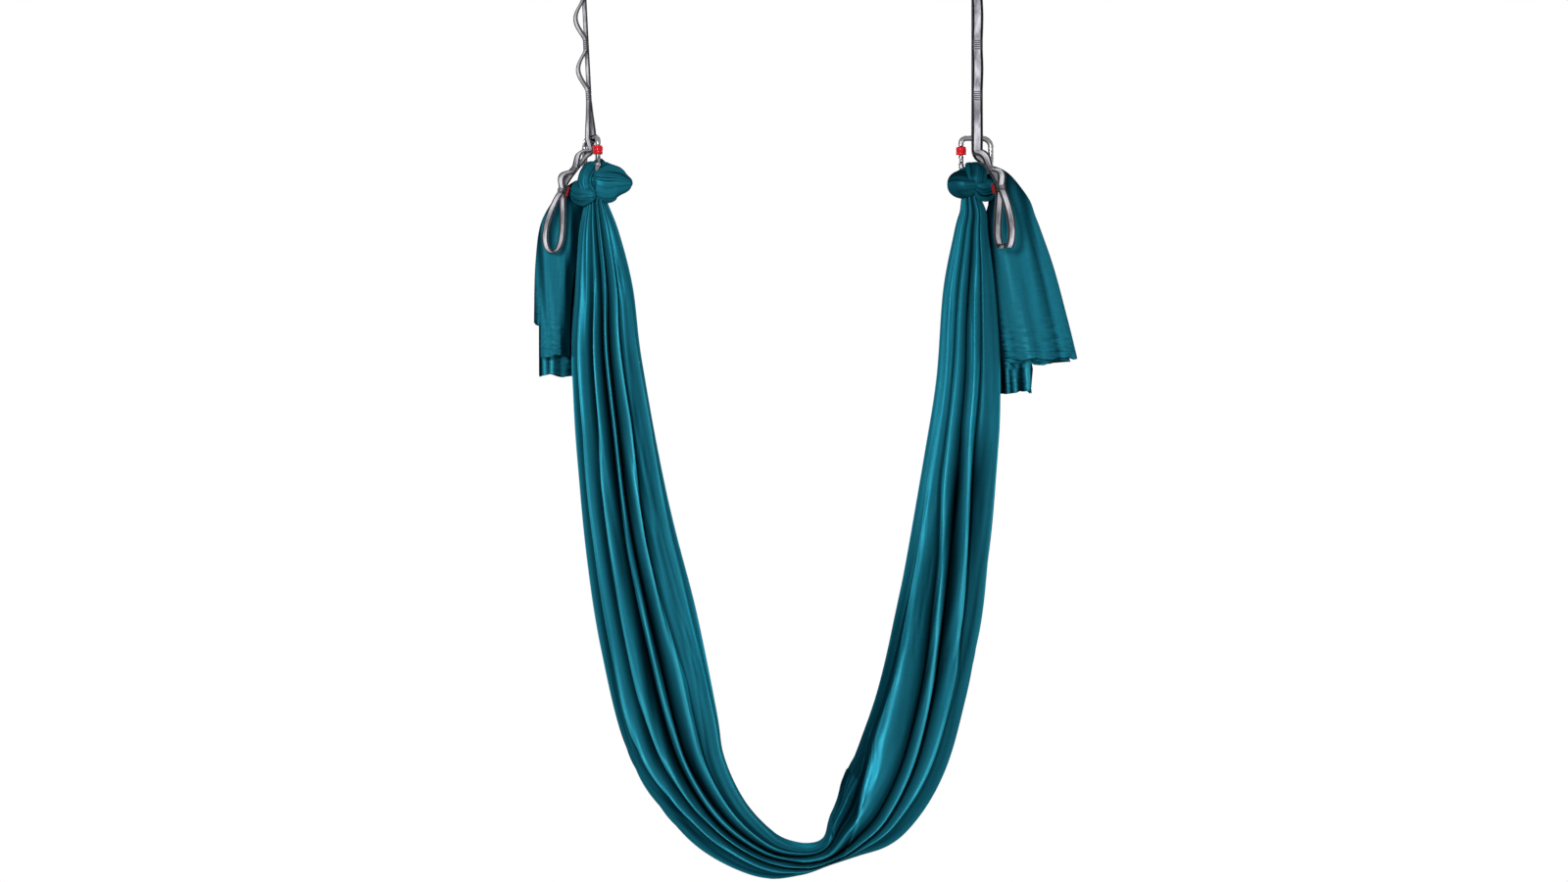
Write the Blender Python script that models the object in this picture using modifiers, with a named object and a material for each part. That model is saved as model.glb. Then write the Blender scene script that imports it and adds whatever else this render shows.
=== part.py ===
"""An aerial yoga hammock: a gathered cloth sling knotted to two carabiners, which hang
from two daisy chain straps, which hang from two more carabiners.

Metres, +Z up, +Y away from the viewer. The origin lies midway between the two places
where the upper carabiners bear on the ceiling's anchors.
"""
import math

import bmesh
import bpy
from mathutils import Matrix, Vector

# Clearance between pieces that touch
seat_gap = 0.0003

# Carabiner: the frame is one bent rod, local x towards the gate, z = 0 at the top bow's centreline
rod_radius = 0.0048
frame_half_width = 0.026
frame_height = 0.062
corner_gate_top = 0.009
corner_spine_top = 0.016
corner_bottom = 0.0165
corner_steps = 5
rod_bevel_resolution = 2
small_sides = 12

# Gate, nose and hinge
hinge_straight = 0.0005
pin_radius = 0.0015
pin_clearance = 0.0002
nose_end_depth = 0.0135
nose_slot_width = 0.0032
nose_slot_height = 0.005
nose_outer_wall = 0.0016
nose_slot_clearance = 0.0003
tongue_top_gap = 0.0006
barrel_top_gap = 0.0007
barrel_radius = 0.0044
barrel_chamfer = 0.0008
thread_clearance = 0.0004
thread_bevel = 0.0005
thread_upper_inset = 0.0015
thread_lower_inset = 0.0020
blade_seat = 0.0020
heel_radius = 0.0046
heel_taper_height = 0.0040
heel_steps = 4
hinge_shoulder_drop = 0.0056
hinge_tongue_width = 0.0036
hinge_tongue_radius = 0.0041
hinge_tongue_reach = 0.0080
hinge_side_clearance = 0.0003
bore_radius = 0.0026
bore_top_wall = 0.0030
pin_end_inset = 0.0003

# Spring and plunger inside the gate
spring_wire_radius = 0.00035
spring_turns = 5
spring_steps_per_turn = 8
plunger_clearance = 0.0005
plunger_length = 0.0045
plunger_chamfer = 0.0006

# Locking sleeve
sleeve_length = 0.0155
sleeve_drop = 0.0150
sleeve_radius = 0.0090
sleeve_bore_clearance = 0.0005
sleeve_chamfer = 0.0016
sleeve_flutes = 12
sleeve_flute_depth = 0.0006
sleeve_flute_end = 0.0026

# Daisy chain straps
webbing_width = 0.020
webbing_thickness = 0.0018
pocket_pitch = 0.0894
tack_length = 0.018
open_pocket_count = 2
open_pocket_bulge = 0.016
end_loop_length = 0.105
lower_bow_depth = 0.3675
lower_tack_length = 0.010
lower_tack_drop = 0.0098
tail_tack_length = 0.009
tail_pocket_bulge = 0.011
pocket_roundness = 1.3
tack_ply_overlap = 0.001
end_loop_reach = 0.021
end_loop_fullness = 0.35
end_loop_steps = 18

# Where the straps hang
hang_spacing = 0.696
left_lower_drift = 0.018
left_strap_turn = math.radians(-76)
left_carabiner_turn = math.radians(-60)
right_carabiner_turn = math.pi
lower_side_shift = 0.002
upper_twist_length = 0.070
lower_turn_delay = 0.020
lower_turn_lead = 0.012
loose_turn_length = 0.045

# Side tags
tag_width = 0.012
tag_height = 0.018
tag_thickness = 0.0016
tag_side_gap = 0.0006
tag_neck_height = 0.007
tag_shoulder = 0.003

# Cloth sling: centreline x and z from the side's lower bow, breadth in the picture plane, depth along Y
sling_left_route = [
    (0.009, -0.0543, 0.038, 0.042),
    (0.014, -0.1083, 0.069, 0.058),
    (0.024, -0.2113, 0.103, 0.074),
    (0.030, -0.3443, 0.126, 0.086),
    (0.060, -0.5793, 0.153, 0.094),
    (0.099, -0.7833, 0.176, 0.102),
    (0.137, -0.9613, 0.174, 0.116),
    (0.171, -1.0563, 0.146, 0.135),
    (0.228, -1.1373, 0.116, 0.158),
    (0.301, -1.1903, 0.083, 0.180),
]
sling_right_route = [
    (-0.313, -1.2013, 0.053, 0.186),
    (-0.261, -1.1883, 0.045, 0.174),
    (-0.222, -1.1543, 0.098, 0.150),
    (-0.180, -1.1093, 0.144, 0.130),
    (-0.133, -1.0263, 0.159, 0.112),
    (-0.096, -0.9093, 0.154, 0.102),
    (-0.062, -0.7403, 0.148, 0.096),
    (-0.027, -0.4993, 0.133, 0.088),
    (-0.014, -0.3613, 0.117, 0.080),
    (-0.013, -0.2083, 0.095, 0.068),
    (-0.013, -0.1083, 0.067, 0.054),
    (-0.012, -0.0513, 0.038, 0.040),
]
sling_stations = 29
resample_steps = 12
sling_folds = 10
sling_fold_depth = 0.30
sling_fold_unevenness = 0.45
sling_fold_twist = 0.7
points_per_fold = 4

# Cloth knots: centre from the side's lower bow, and half extents
left_knot_centre = Vector((0.0215, 0.000, -0.0178))
left_knot_half = Vector((0.046, 0.031, 0.0385))
right_knot_centre = Vector((-0.0150, 0.000, -0.0193))
right_knot_half = Vector((0.037, 0.031, 0.0340))
knot_ring_points = 30
knot_rings = 18
knot_wraps = 3
knot_wrap_depth = 0.12
knot_reach = 1.6
grown_reach = 1.5
left_wrap_axis = Vector((0.55, -0.45, 0.70))
right_wrap_axis = Vector((0.80, -0.30, -0.52))
left_knot_lobes = [((1, -0.2, 0.0), 0.22, 3.0), ((-0.5, -0.6, -0.6), 0.06, 4.0)]
right_knot_lobes = [((0.3, 0, 1), 0.18, 12.0), ((0.6, -0.6, -0.3), 0.06, 5.0)]

# Cloth tails: left edge x, right edge x, middle y, depth along Y, z, from the side's lower bow
left_tail_route = [
    (-0.046, -0.010, 0.020, 0.020, -0.0073),
    (-0.073, -0.020, 0.027, 0.034, -0.0433),
    (-0.094, -0.030, 0.026, 0.046, -0.0883),
    (-0.098, -0.036, 0.024, 0.050, -0.1533),
    (-0.100, -0.040, 0.024, 0.052, -0.2483),
    (-0.098, -0.040, 0.024, 0.052, -0.3133),
]
left_tail_hem_drop = 0.036
right_tail_route = [
    (-0.006, 0.044, 0.017, 0.020, 0.0107),
    (0.012, 0.072, 0.024, 0.030, -0.0153),
    (0.024, 0.092, 0.030, 0.040, -0.0433),
    (0.038, 0.110, 0.030, 0.052, -0.0933),
    (0.042, 0.135, 0.028, 0.060, -0.1633),
    (0.043, 0.157, 0.028, 0.064, -0.2483),
    (0.044, 0.176, 0.028, 0.066, -0.3193),
]
right_tail_hem_drop = 0.060
tail_stations = 13
tail_hem_start = 0.75
tail_folds = 8
tail_fold_depth = 0.34
tail_fold_twist = 0.5
left_tail_front_share = 0.3
right_tail_front_share = 0.9

# Loose strap ends below the lower carabiners, from each lower bow's centre
right_loose_route = [
    (0.0030, -0.006, -0.0310),
    (0.0110, -0.017, -0.0425),
    (0.0210, -0.028, -0.0550),
    (0.0310, -0.035, -0.0690),
    (0.0380, -0.040, -0.0850),
    (0.0420, -0.040, -0.1050),
    (0.0460, -0.040, -0.1450),
    (0.0475, -0.040, -0.1950),
]
left_loose_route = [
    (-0.0075, -0.002, -0.0300),
    (-0.0165, -0.007, -0.0415),
    (-0.0270, -0.012, -0.0540),
    (-0.0380, -0.015, -0.0690),
    (-0.0470, -0.017, -0.0850),
    (-0.0540, -0.018, -0.1050),
    (-0.0630, -0.018, -0.1500),
    (-0.0690, -0.018, -0.2050),
]
right_loose_turn = math.radians(62)
left_loose_turn = math.radians(-66)
loose_tack_starts = (0.045, 0.088)
loose_route_steps = 6
straight_route_steps = 3
bulge_route_steps = 12
lower_bulge_steps = 10
open_pocket_steps = 10
plumb_length = 0.018
loop_side_steps = 12
loose_tack_steps = 3

# Worked out from the sizes above
top_bow_z = rod_radius
upper_lower_bow_z = top_bow_z - frame_height
wrap_radius = rod_radius + seat_gap + webbing_thickness / 2
layer_step = webbing_thickness + seat_gap
tack_starts = [end_loop_length + count * pocket_pitch for count in range(open_pocket_count + 1)]
lower_bow_z = upper_lower_bow_z - lower_bow_depth
knot_bow_z = lower_bow_z - frame_height
pin_depth = frame_height - corner_bottom - hinge_shoulder_drop - hinge_straight
sleeve_bore_radius = rod_radius + sleeve_bore_clearance
thread_radius = sleeve_bore_radius - thread_clearance
plunger_radius = bore_radius - plunger_clearance
left_hang = Vector((-hang_spacing / 2, 0, 0))
right_hang = Vector((hang_spacing / 2, 0, 0))
pin_local = Vector((frame_half_width, 0, -pin_depth))
swing_axis = Vector((0, 0, upper_lower_bow_z))


def clear_scene():
    for obj in list(bpy.data.objects):
        bpy.data.objects.remove(obj, do_unlink=True)


def new_collection(name):
    collection = bpy.data.collections.new(name)
    bpy.context.scene.collection.children.link(collection)
    return collection


def make_material(name, colour, roughness, metallic=0.0):
    material = bpy.data.materials.new(name)
    material.use_nodes = True
    shader = material.node_tree.nodes["Principled BSDF"]
    shader.inputs["Base Color"].default_value = (*colour, 1)
    shader.inputs["Roughness"].default_value = roughness
    shader.inputs["Metallic"].default_value = metallic
    return material


clear_scene()
parts = new_collection("aerial_yoga_hammock")
cutters = new_collection("cutters")

finishes = {
    "frame": ((0.72, 0.72, 0.74), 0.18, 1.0),
    "gate": ((0.55, 0.55, 0.57), 0.22, 1.0),
    "pin": ((0.60, 0.60, 0.62), 0.30, 1.0),
    "spring": ((0.45, 0.45, 0.46), 0.35, 1.0),
    "plunger": ((0.62, 0.58, 0.45), 0.35, 1.0),
    "sleeve": ((0.62, 0.02, 0.03), 0.22, 0.6),
    "base": ((0.10, 0.10, 0.12), 0.70, 0.0),
    "pockets": ((0.48, 0.48, 0.54), 0.45, 0.0),
    "tag": ((0.02, 0.02, 0.02), 0.60, 0.0),
    "sling": ((0.01, 0.15, 0.20), 0.45, 0.0),
    "knot": ((0.01, 0.14, 0.19), 0.45, 0.0),
    "tail": ((0.01, 0.14, 0.18), 0.50, 0.0),
}


def mesh_object(name, bm, collection=cutters):
    mesh = bpy.data.meshes.new(name)
    bmesh.ops.recalc_face_normals(bm, faces=bm.faces)
    bm.to_mesh(mesh)
    bm.free()
    obj = bpy.data.objects.new(name, mesh)
    collection.objects.link(obj)
    return obj


def make_cutter(obj):
    obj.hide_render = True
    obj.display_type = "WIRE"
    return obj


def box(name, low, high):
    bm = bmesh.new()
    bmesh.ops.create_cube(bm, size=1)
    low, high = Vector(low), Vector(high)
    bmesh.ops.scale(bm, vec=high - low, verts=bm.verts)
    bmesh.ops.translate(bm, vec=(low + high) / 2, verts=bm.verts)
    return make_cutter(mesh_object(name, bm))


def cylinder(name, radius, length, centre, along_y=False, sides=16):
    bm = bmesh.new()
    bmesh.ops.create_cone(bm, cap_ends=True, segments=sides, radius1=radius, radius2=radius, depth=length)
    if along_y:
        bmesh.ops.rotate(bm, cent=(0, 0, 0), matrix=Matrix.Rotation(math.pi / 2, 3, "X"), verts=bm.verts)
    bmesh.ops.translate(bm, vec=centre, verts=bm.verts)
    return make_cutter(mesh_object(name, bm))


def turned(name, profile, steps=16):
    """A closed body from a profile of (radius, height) that runs down its outer side."""
    bm = bmesh.new()
    verts = [bm.verts.new((radius, 0, height)) for radius, height in profile]
    for here, there in zip(verts, verts[1:]):
        bm.edges.new((here, there))
    obj = mesh_object(name, bm)
    screw = obj.modifiers.new("turn", "SCREW")
    screw.axis = "Z"
    screw.angle = math.tau
    screw.steps = steps
    screw.render_steps = steps
    screw.use_merge_vertices = True
    screw.merge_threshold = 0.00001
    return obj


def join(obj, other, operation):
    boolean = obj.modifiers.new(operation.lower(), "BOOLEAN")
    boolean.operation = operation
    boolean.solver = "EXACT"
    boolean.object = other


def tube(name, points, radius, resolution):
    """A rod along points, as a mesh with its caps welded on."""
    curve = bpy.data.curves.new(name, "CURVE")
    curve.dimensions = "3D"
    curve.bevel_depth = radius
    curve.bevel_resolution = resolution
    curve.use_fill_caps = True
    spline = curve.splines.new("POLY")
    spline.points.add(len(points) - 1)
    for point, place in zip(spline.points, points):
        point.co = (*place, 1)
    source = bpy.data.objects.new(name + "_curve", curve)
    cutters.objects.link(source)
    obj = finished(source, name, weld=True)
    return make_cutter(obj)


def finished(source, name, weld=False):
    """The evaluated mesh of an object as a new plain object, without the source."""
    bpy.context.view_layer.update()
    graph = bpy.context.evaluated_depsgraph_get()
    mesh = bpy.data.meshes.new_from_object(source.evaluated_get(graph))
    mesh.name = name
    bpy.data.objects.remove(source, do_unlink=True)
    if weld:
        bm = bmesh.new()
        bm.from_mesh(mesh)
        bmesh.ops.remove_doubles(bm, verts=bm.verts, dist=0.00001)
        bmesh.ops.recalc_face_normals(bm, faces=bm.faces)
        bm.to_mesh(mesh)
        bm.free()
    obj = bpy.data.objects.new(name, mesh)
    cutters.objects.link(obj)
    return obj


def catmull_rom(points, steps):
    """A smooth line through points, with steps pieces between each two."""
    ends = [2 * points[0] - points[1]] + list(points) + [2 * points[-1] - points[-2]]
    line = []
    for first, second, third, fourth in zip(ends, ends[1:], ends[2:], ends[3:]):
        for step in range(steps):
            t = step / steps
            line.append(
                0.5
                * (
                    2 * second
                    + (third - first) * t
                    + (2 * first - 5 * second + 4 * third - fourth) * t**2
                    + (3 * second - first - 3 * third + fourth) * t**3
                )
            )
    line.append(points[-1].copy())
    return line


def arc(centre, radius, start, end, steps):
    """Points on an arc in the local XZ plane, angles in degrees."""
    points = []
    for step in range(steps + 1):
        angle = math.radians(start + (end - start) * step / steps)
        across, up = radius * math.cos(angle), radius * math.sin(angle)
        points.append(Vector((centre[0] + across, 0, centre[1] + up)))
    return points


def frame_path():
    """The rod's centreline from the nose over the top bow, down the spine and back to the hinge."""
    half = frame_half_width
    path = [Vector((half, 0, -nose_end_depth))]
    path += arc((half - corner_gate_top, -corner_gate_top), corner_gate_top, 0, 90, corner_steps)
    path += arc((corner_spine_top - half, -corner_spine_top), corner_spine_top, 90, 180, corner_steps)
    low = corner_bottom - frame_height
    path += arc((corner_bottom - half, low), corner_bottom, 180, 270, corner_steps)
    path += arc((half - corner_bottom, low), corner_bottom, 270, 360, corner_steps)
    path.append(Vector((half, 0, -pin_depth - hinge_shoulder_drop)))
    return path


def make_frame():
    """The bent rod, with the slot in its nose and the flat tongue that the gate turns on."""
    rod = tube("rod", frame_path(), rod_radius, rod_bevel_resolution)
    slot_top = nose_slot_height - nose_end_depth
    slot = box(
        "nose_slot",
        (frame_half_width - 2 * rod_radius, -nose_slot_width / 2, -nose_end_depth - rod_radius),
        (frame_half_width + rod_radius - nose_outer_wall, nose_slot_width / 2, slot_top),
    )
    tongue = make_tongue()
    hole = cylinder("hinge_hole", pin_radius + pin_clearance, 3 * rod_radius, pin_local, True, small_sides)
    join(rod, slot, "DIFFERENCE")
    join(rod, tongue, "UNION")
    join(rod, hole, "DIFFERENCE")
    frame = finished(rod, "carabiner_frame")
    for used in (slot, tongue, hole):
        bpy.data.objects.remove(used, do_unlink=True)
    return frame


def make_tongue():
    """The flat end of the rod: a plate with a round top about the hinge pin."""
    outline = arc((0, 0), hinge_tongue_radius, 0, 180, 8)
    outline += [Vector((-hinge_tongue_radius, 0, -hinge_tongue_reach))]
    outline += [Vector((hinge_tongue_radius, 0, -hinge_tongue_reach))]
    bm = bmesh.new()
    face = bm.faces.new([bm.verts.new(point + pin_local) for point in outline])
    swept = bmesh.ops.extrude_face_region(bm, geom=[face])
    moved = [item for item in swept["geom"] if isinstance(item, bmesh.types.BMVert)]
    bmesh.ops.translate(bm, vec=(0, hinge_tongue_width, 0), verts=moved)
    bmesh.ops.translate(bm, vec=(0, -hinge_tongue_width / 2, 0), verts=bm.verts)
    return make_cutter(mesh_object("hinge_tongue", bm))


def make_gate():
    """The barrel with its blade, thread, spring bore and forked heel, about the hinge pin."""
    top = pin_depth - nose_end_depth - barrel_top_gap
    thread_top = pin_depth - sleeve_drop - thread_upper_inset
    thread_low = pin_depth - sleeve_drop - sleeve_length + thread_lower_inset
    profile = [(0, top), (barrel_radius - barrel_chamfer, top), (barrel_radius, top - barrel_chamfer)]
    profile += [(barrel_radius, thread_top), (thread_radius, thread_top - thread_bevel)]
    profile += [(thread_radius, thread_low), (barrel_radius, thread_low - thread_bevel)]
    profile.append((barrel_radius, heel_taper_height))
    for step in range(heel_steps + 1):
        angle = -math.pi / 2 * step / heel_steps
        profile.append((heel_radius * math.cos(angle), heel_radius * math.sin(angle)))
    profile[-1] = (0, -heel_radius)
    barrel = turned("barrel", profile)
    slot_top = pin_depth + nose_slot_height - nose_end_depth
    blade_side = nose_slot_width / 2 - nose_slot_clearance
    blade = box(
        "gate_blade",
        (2 * barrel_chamfer - barrel_radius, -blade_side, top - blade_seat),
        (rod_radius - nose_outer_wall - nose_slot_clearance, blade_side, slot_top - tongue_top_gap),
    )
    fork_side = hinge_tongue_width / 2 + hinge_side_clearance
    fork_top = hinge_tongue_radius + seat_gap
    fork_reach = 3 * heel_radius
    fork = box("gate_fork", (-fork_reach, -fork_side, -fork_reach), (fork_reach, fork_side, fork_top))
    bore_top = top - bore_top_wall
    bore = cylinder("gate_bore", bore_radius, bore_top, (0, 0, bore_top / 2), False, small_sides)
    hole_radius = pin_radius + pin_clearance
    hole = cylinder("gate_pin_hole", hole_radius, 4 * heel_radius, (0, 0, 0), True, small_sides)
    join(barrel, blade, "UNION")
    join(barrel, fork, "DIFFERENCE")
    join(barrel, bore, "DIFFERENCE")
    join(barrel, hole, "DIFFERENCE")
    gate = finished(barrel, "carabiner_gate")
    for used in (blade, fork, bore, hole):
        bpy.data.objects.remove(used, do_unlink=True)
    return gate


def make_pin():
    pin = cylinder("pin", pin_radius, 2 * (heel_radius - pin_end_inset), (0, 0, 0), True, small_sides)
    return finished(pin, "carabiner_hinge_pin")


def spring_low():
    return hinge_tongue_radius + 2 * seat_gap + plunger_length + spring_wire_radius + seat_gap


def make_spring():
    """A coil of round wire between the plunger's head and the top of the bore."""
    high = pin_depth - nose_end_depth - barrel_top_gap - bore_top_wall - spring_wire_radius - seat_gap
    coil_radius = bore_radius - spring_wire_radius - seat_gap
    count = spring_turns * spring_steps_per_turn
    points = []
    for step in range(count + 1):
        angle = math.tau * step / spring_steps_per_turn
        height = spring_low() + (high - spring_low()) * step / count
        points.append(Vector((coil_radius * math.cos(angle), coil_radius * math.sin(angle), height)))
    pitch = (high - spring_low()) / spring_turns
    print("least gap between the spring's turns, mm:", round((pitch - 2 * spring_wire_radius) * 1000, 3))
    return tube("carabiner_spring", points, spring_wire_radius, 0)


def make_plunger():
    low = hinge_tongue_radius + 2 * seat_gap
    profile = [(0, low + plunger_length), (plunger_radius, low + plunger_length)]
    profile += [(plunger_radius, low + plunger_chamfer), (plunger_radius - plunger_chamfer, low), (0, low)]
    return finished(turned("plunger", profile, small_sides), "carabiner_plunger")


def make_sleeve():
    """The fluted nut round the barrel, its bore clear of the thread and of the nose."""
    top = pin_depth - sleeve_drop
    low = top - sleeve_length
    rings = [
        (top, sleeve_radius - sleeve_chamfer, 0.0),
        (top - sleeve_chamfer, sleeve_radius, 0.0),
        (top - sleeve_flute_end, sleeve_radius, 1.0),
        (low + sleeve_flute_end, sleeve_radius, 1.0),
        (low + sleeve_chamfer, sleeve_radius, 0.0),
        (low, sleeve_radius - sleeve_chamfer, 0.0),
        (low, sleeve_bore_radius, 0.0),
        (top, sleeve_bore_radius, 0.0),
    ]
    count = 2 * sleeve_flutes
    bm = bmesh.new()
    loops = []
    for height, radius, fluted in rings:
        loop = []
        for step in range(count):
            angle = math.tau * step / count
            reach = radius - fluted * sleeve_flute_depth * (step % 2)
            loop.append(bm.verts.new((reach * math.cos(angle), reach * math.sin(angle), height)))
        loops.append(loop)
    for here, there in zip(loops, loops[1:] + loops[:1]):
        for step in range(count):
            after = (step + 1) % count
            bm.faces.new((here[step], here[after], there[after], there[step]))
    return mesh_object("carabiner_sleeve", bm)


def place(name, mesh, finish, location, turn=0.0, parent=None):
    """One named piece, at a place in the world, carried by an empty."""
    obj = bpy.data.objects.new(name, mesh)
    parts.objects.link(obj)
    obj.location = location
    obj.rotation_euler = (0, 0, turn)
    if parent is not None:
        obj.parent = parent
        obj.matrix_parent_inverse = Matrix.Translation(-parent.location)
    mesh.materials.clear()
    mesh.materials.append(make_material(name, *finishes[finish]))
    mesh.shade_smooth()
    mesh.set_sharp_from_angle(angle=math.radians(35))
    return obj


def make_pivot(name, location):
    pivot = bpy.data.objects.new(name, None)
    parts.objects.link(pivot)
    pivot.location = location
    return pivot


carabiner_pieces = {
    "frame": make_frame(),
    "gate": make_gate(),
    "pin": make_pin(),
    "spring": make_spring(),
    "plunger": make_plunger(),
    "sleeve": make_sleeve(),
}


def make_carabiner(prefix, top_centre, turn, parent):
    """All pieces of one carabiner: the frame at its top bow, the rest at the hinge pin."""
    place(prefix + "_frame", carabiner_pieces["frame"].data.copy(), "frame", top_centre, turn, parent)
    pin_place = top_centre + Matrix.Rotation(turn, 3, "Z") @ pin_local
    names = {"gate": "_gate", "pin": "_hinge_pin", "spring": "_gate_spring"}
    names.update({"plunger": "_gate_plunger", "sleeve": "_locking_sleeve"})
    for kind, suffix in names.items():
        place(prefix + suffix, carabiner_pieces[kind].data.copy(), kind, pin_place, turn, parent)


def smooth(value):
    value = min(1.0, max(0.0, value))
    return value * value * (3 - 2 * value)


class Strap:
    """The line that a strap follows, by the distance s below its upper hanging rod."""

    def __init__(self, hang, drift, main_turn, lower_turn, loose_turn, loose_route):
        self.top = hang + Vector((0, 0, upper_lower_bow_z))
        self.main_turn = main_turn
        self.lower_turn = lower_turn
        self.loose_turn = loose_turn
        self.bow = Vector((hang.x + drift, 0, lower_bow_z))
        self.knee = self.top - Vector((0, 0, plumb_length))
        self.down = (self.bow - self.knee).normalized()
        self.bow_s = plumb_length + (self.bow - self.knee).length
        self.tack_s = self.bow_s + lower_tack_drop
        self.loose_s = self.tack_s + lower_tack_length
        start = self.taut(self.loose_s)
        route = [self.bow + Vector(point) for point in loose_route]
        lead = route[0] - self.down * 2 * (route[0] - start).length
        self.line = catmull_rom([lead, start] + route, loose_route_steps)[loose_route_steps:]
        self.runs = [self.down]
        for before, after in zip(self.line, self.line[2:]):
            self.runs.append((after - before).normalized())
        self.runs.append((self.line[-1] - self.line[-2]).normalized())

    def taut(self, s):
        """A place on the stretch that hangs taut: plumb at the top rod, then straight to the bow."""
        if s <= plumb_length:
            return self.top - Vector((0, 0, s))
        return self.knee + self.down * (s - plumb_length)

    def turn(self, s):
        """How far the webbing's face is turned about the vertical at s."""
        if s < end_loop_length:
            start = (end_loop_length - upper_twist_length) / 2
            return self.main_turn * smooth((s - start) / upper_twist_length)
        last_open = tack_starts[-1] + tack_length + lower_turn_delay
        if s < self.loose_s:
            blend = smooth((s - last_open) / (self.bow_s - lower_turn_lead - last_open))
            return self.main_turn + (self.lower_turn - self.main_turn) * blend
        blend = smooth((s - self.loose_s) / loose_turn_length)
        return self.lower_turn + (self.loose_turn - self.lower_turn) * blend

    def frame(self, s):
        """Place, direction along the strap, face normal and width direction at s."""
        if s <= plumb_length:
            place_now, along = self.taut(s), Vector((0, 0, -1))
        elif s <= self.loose_s:
            place_now, along = self.taut(s), self.down
        else:
            left = s - self.loose_s
            for index, (here, there) in enumerate(zip(self.line, self.line[1:])):
                step = (there - here).length
                if left <= step:
                    break
                left -= step
            place_now = here + (there - here) * (left / step)
            share = min(1.0, left / step)
            along = (self.runs[index] * (1 - share) + self.runs[index + 1] * share).normalized()
        turn = self.turn(s)
        normal = Vector((math.sin(turn), -math.cos(turn), 0))
        normal = (normal - along * normal.dot(along)).normalized()
        return place_now, along, normal, normal.cross(along)


def lower_centre(strap, turn):
    """The top of a lower carabiner: its strap bears on the bow nearer the spine than the gate."""
    return strap.bow + Matrix.Rotation(turn, 3, "Z") @ Vector((lower_side_shift, 0, 0))


def tangent_angle(point, centre, radius, side):
    """Where a line from point touches the circle, as an angle in the (n, s) plane."""
    reach = Vector(point) - Vector(centre)
    return math.atan2(reach.y, reach.x) + side * math.acos(radius / reach.length)


def wrap(before, after, centre, radius, side, steps):
    """Points round a rod at centre, from the tangent through before to the one through after."""
    start = tangent_angle(before, centre, radius, side)
    end = tangent_angle(after, centre, radius, -side)
    while (end - start) * side < 0:
        end += side * math.tau
    points = []
    for step in range(steps + 1):
        angle = start + (end - start) * step / steps
        points.append((centre[0] + radius * math.cos(angle), centre[1] + radius * math.sin(angle)))
    return points


def ribbon(name, strap, route, thickness, width):
    """A flat band that follows (n, s) points beside the strap's line, as one closed body."""
    bm = bmesh.new()
    rings = []
    for index, (offset, s) in enumerate(route):
        before = route[max(index - 1, 0)]
        after = route[min(index + 1, len(route) - 1)]
        run = Vector((after[0] - before[0], after[1] - before[1])).normalized()
        spot, along, normal, across = strap.frame(s)
        centre = spot + normal * offset
        face = normal * run.y - along * run.x
        ring = []
        for side, lift in ((-1, -1), (1, -1), (1, 1), (-1, 1)):
            ring.append(bm.verts.new(centre + across * side * width / 2 + face * lift * thickness / 2))
        rings.append(ring)
    for here, there in zip(rings, rings[1:]):
        for corner in range(4):
            after = (corner + 1) % 4
            first, second = (corner, after) if corner < 2 else (after, corner)
            bm.faces.new((here[corner], here[after], there[second]))
            bm.faces.new((here[first], there[second], there[first]))
    bm.faces.new(rings[0])
    bm.faces.new(rings[-1])
    return mesh_object(name, bm)


def even(start, end, steps):
    """Points from start to end, without the first."""
    points = []
    for step in range(1, steps + 1):
        t = step / steps
        points.append((start[0] + (end[0] - start[0]) * t, start[1] + (end[1] - start[1]) * t))
    return points


def base_route(strap):
    """The base webbing: sewn end, top loop over the rod, the long run, the bow, and the end loop."""
    near = -layer_step / 2
    far = near - layer_step
    tack_low = end_loop_length + tack_length - tack_ply_overlap
    route = [(far, tack_low), (far, end_loop_length)]
    over = wrap(route[-1], (near, end_loop_length), (0, 0), wrap_radius, 1, 10)
    route += even(route[-1], over[0], loop_side_steps) + over[1:]
    route += even(route[-1], (near, end_loop_length), loop_side_steps)
    open_end = tack_starts[-1] + tack_length
    for start in tack_starts[1:]:
        route += even(route[-1], (near, start), straight_route_steps)
    route += even(route[-1], (near, open_end), 1)
    round_bow = wrap(route[-1], (near, strap.tack_s), (0, strap.bow_s), wrap_radius, -1, 5)
    route += even(route[-1], round_bow[0], 4) + round_bow[1:]
    route.append((near, strap.tack_s))
    route.append((near, strap.loose_s))
    first, second = (strap.loose_s + start for start in loose_tack_starts)
    route += even(route[-1], (near, first), bulge_route_steps)
    route += even(route[-1], (near, first + tail_tack_length), loose_tack_steps)
    route += even(route[-1], (near, second), 10)
    route += even(route[-1], (near, second + tail_tack_length), loose_tack_steps)
    route += end_loop(second + tail_tack_length, near, far)
    route.append((far, second + tail_tack_length))
    route += even(route[-1], (far, second), loose_tack_steps)
    return route


def end_loop(start, near, far):
    """A hanging teardrop from the last tack, out on the face side and back behind it."""
    loop = []
    for step in range(1, end_loop_steps):
        angle = math.tau * step / end_loop_steps
        drop = 0.5 * (1 - math.cos(angle))
        fullness = end_loop_fullness + (1 - end_loop_fullness) * math.sqrt(drop)
        rest = near + (far - near) * smooth(step / end_loop_steps)
        offset = rest + end_loop_reach * math.sin(angle) * fullness
        loop.append((offset, start + end_loop_length * drop))
    return loop


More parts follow.
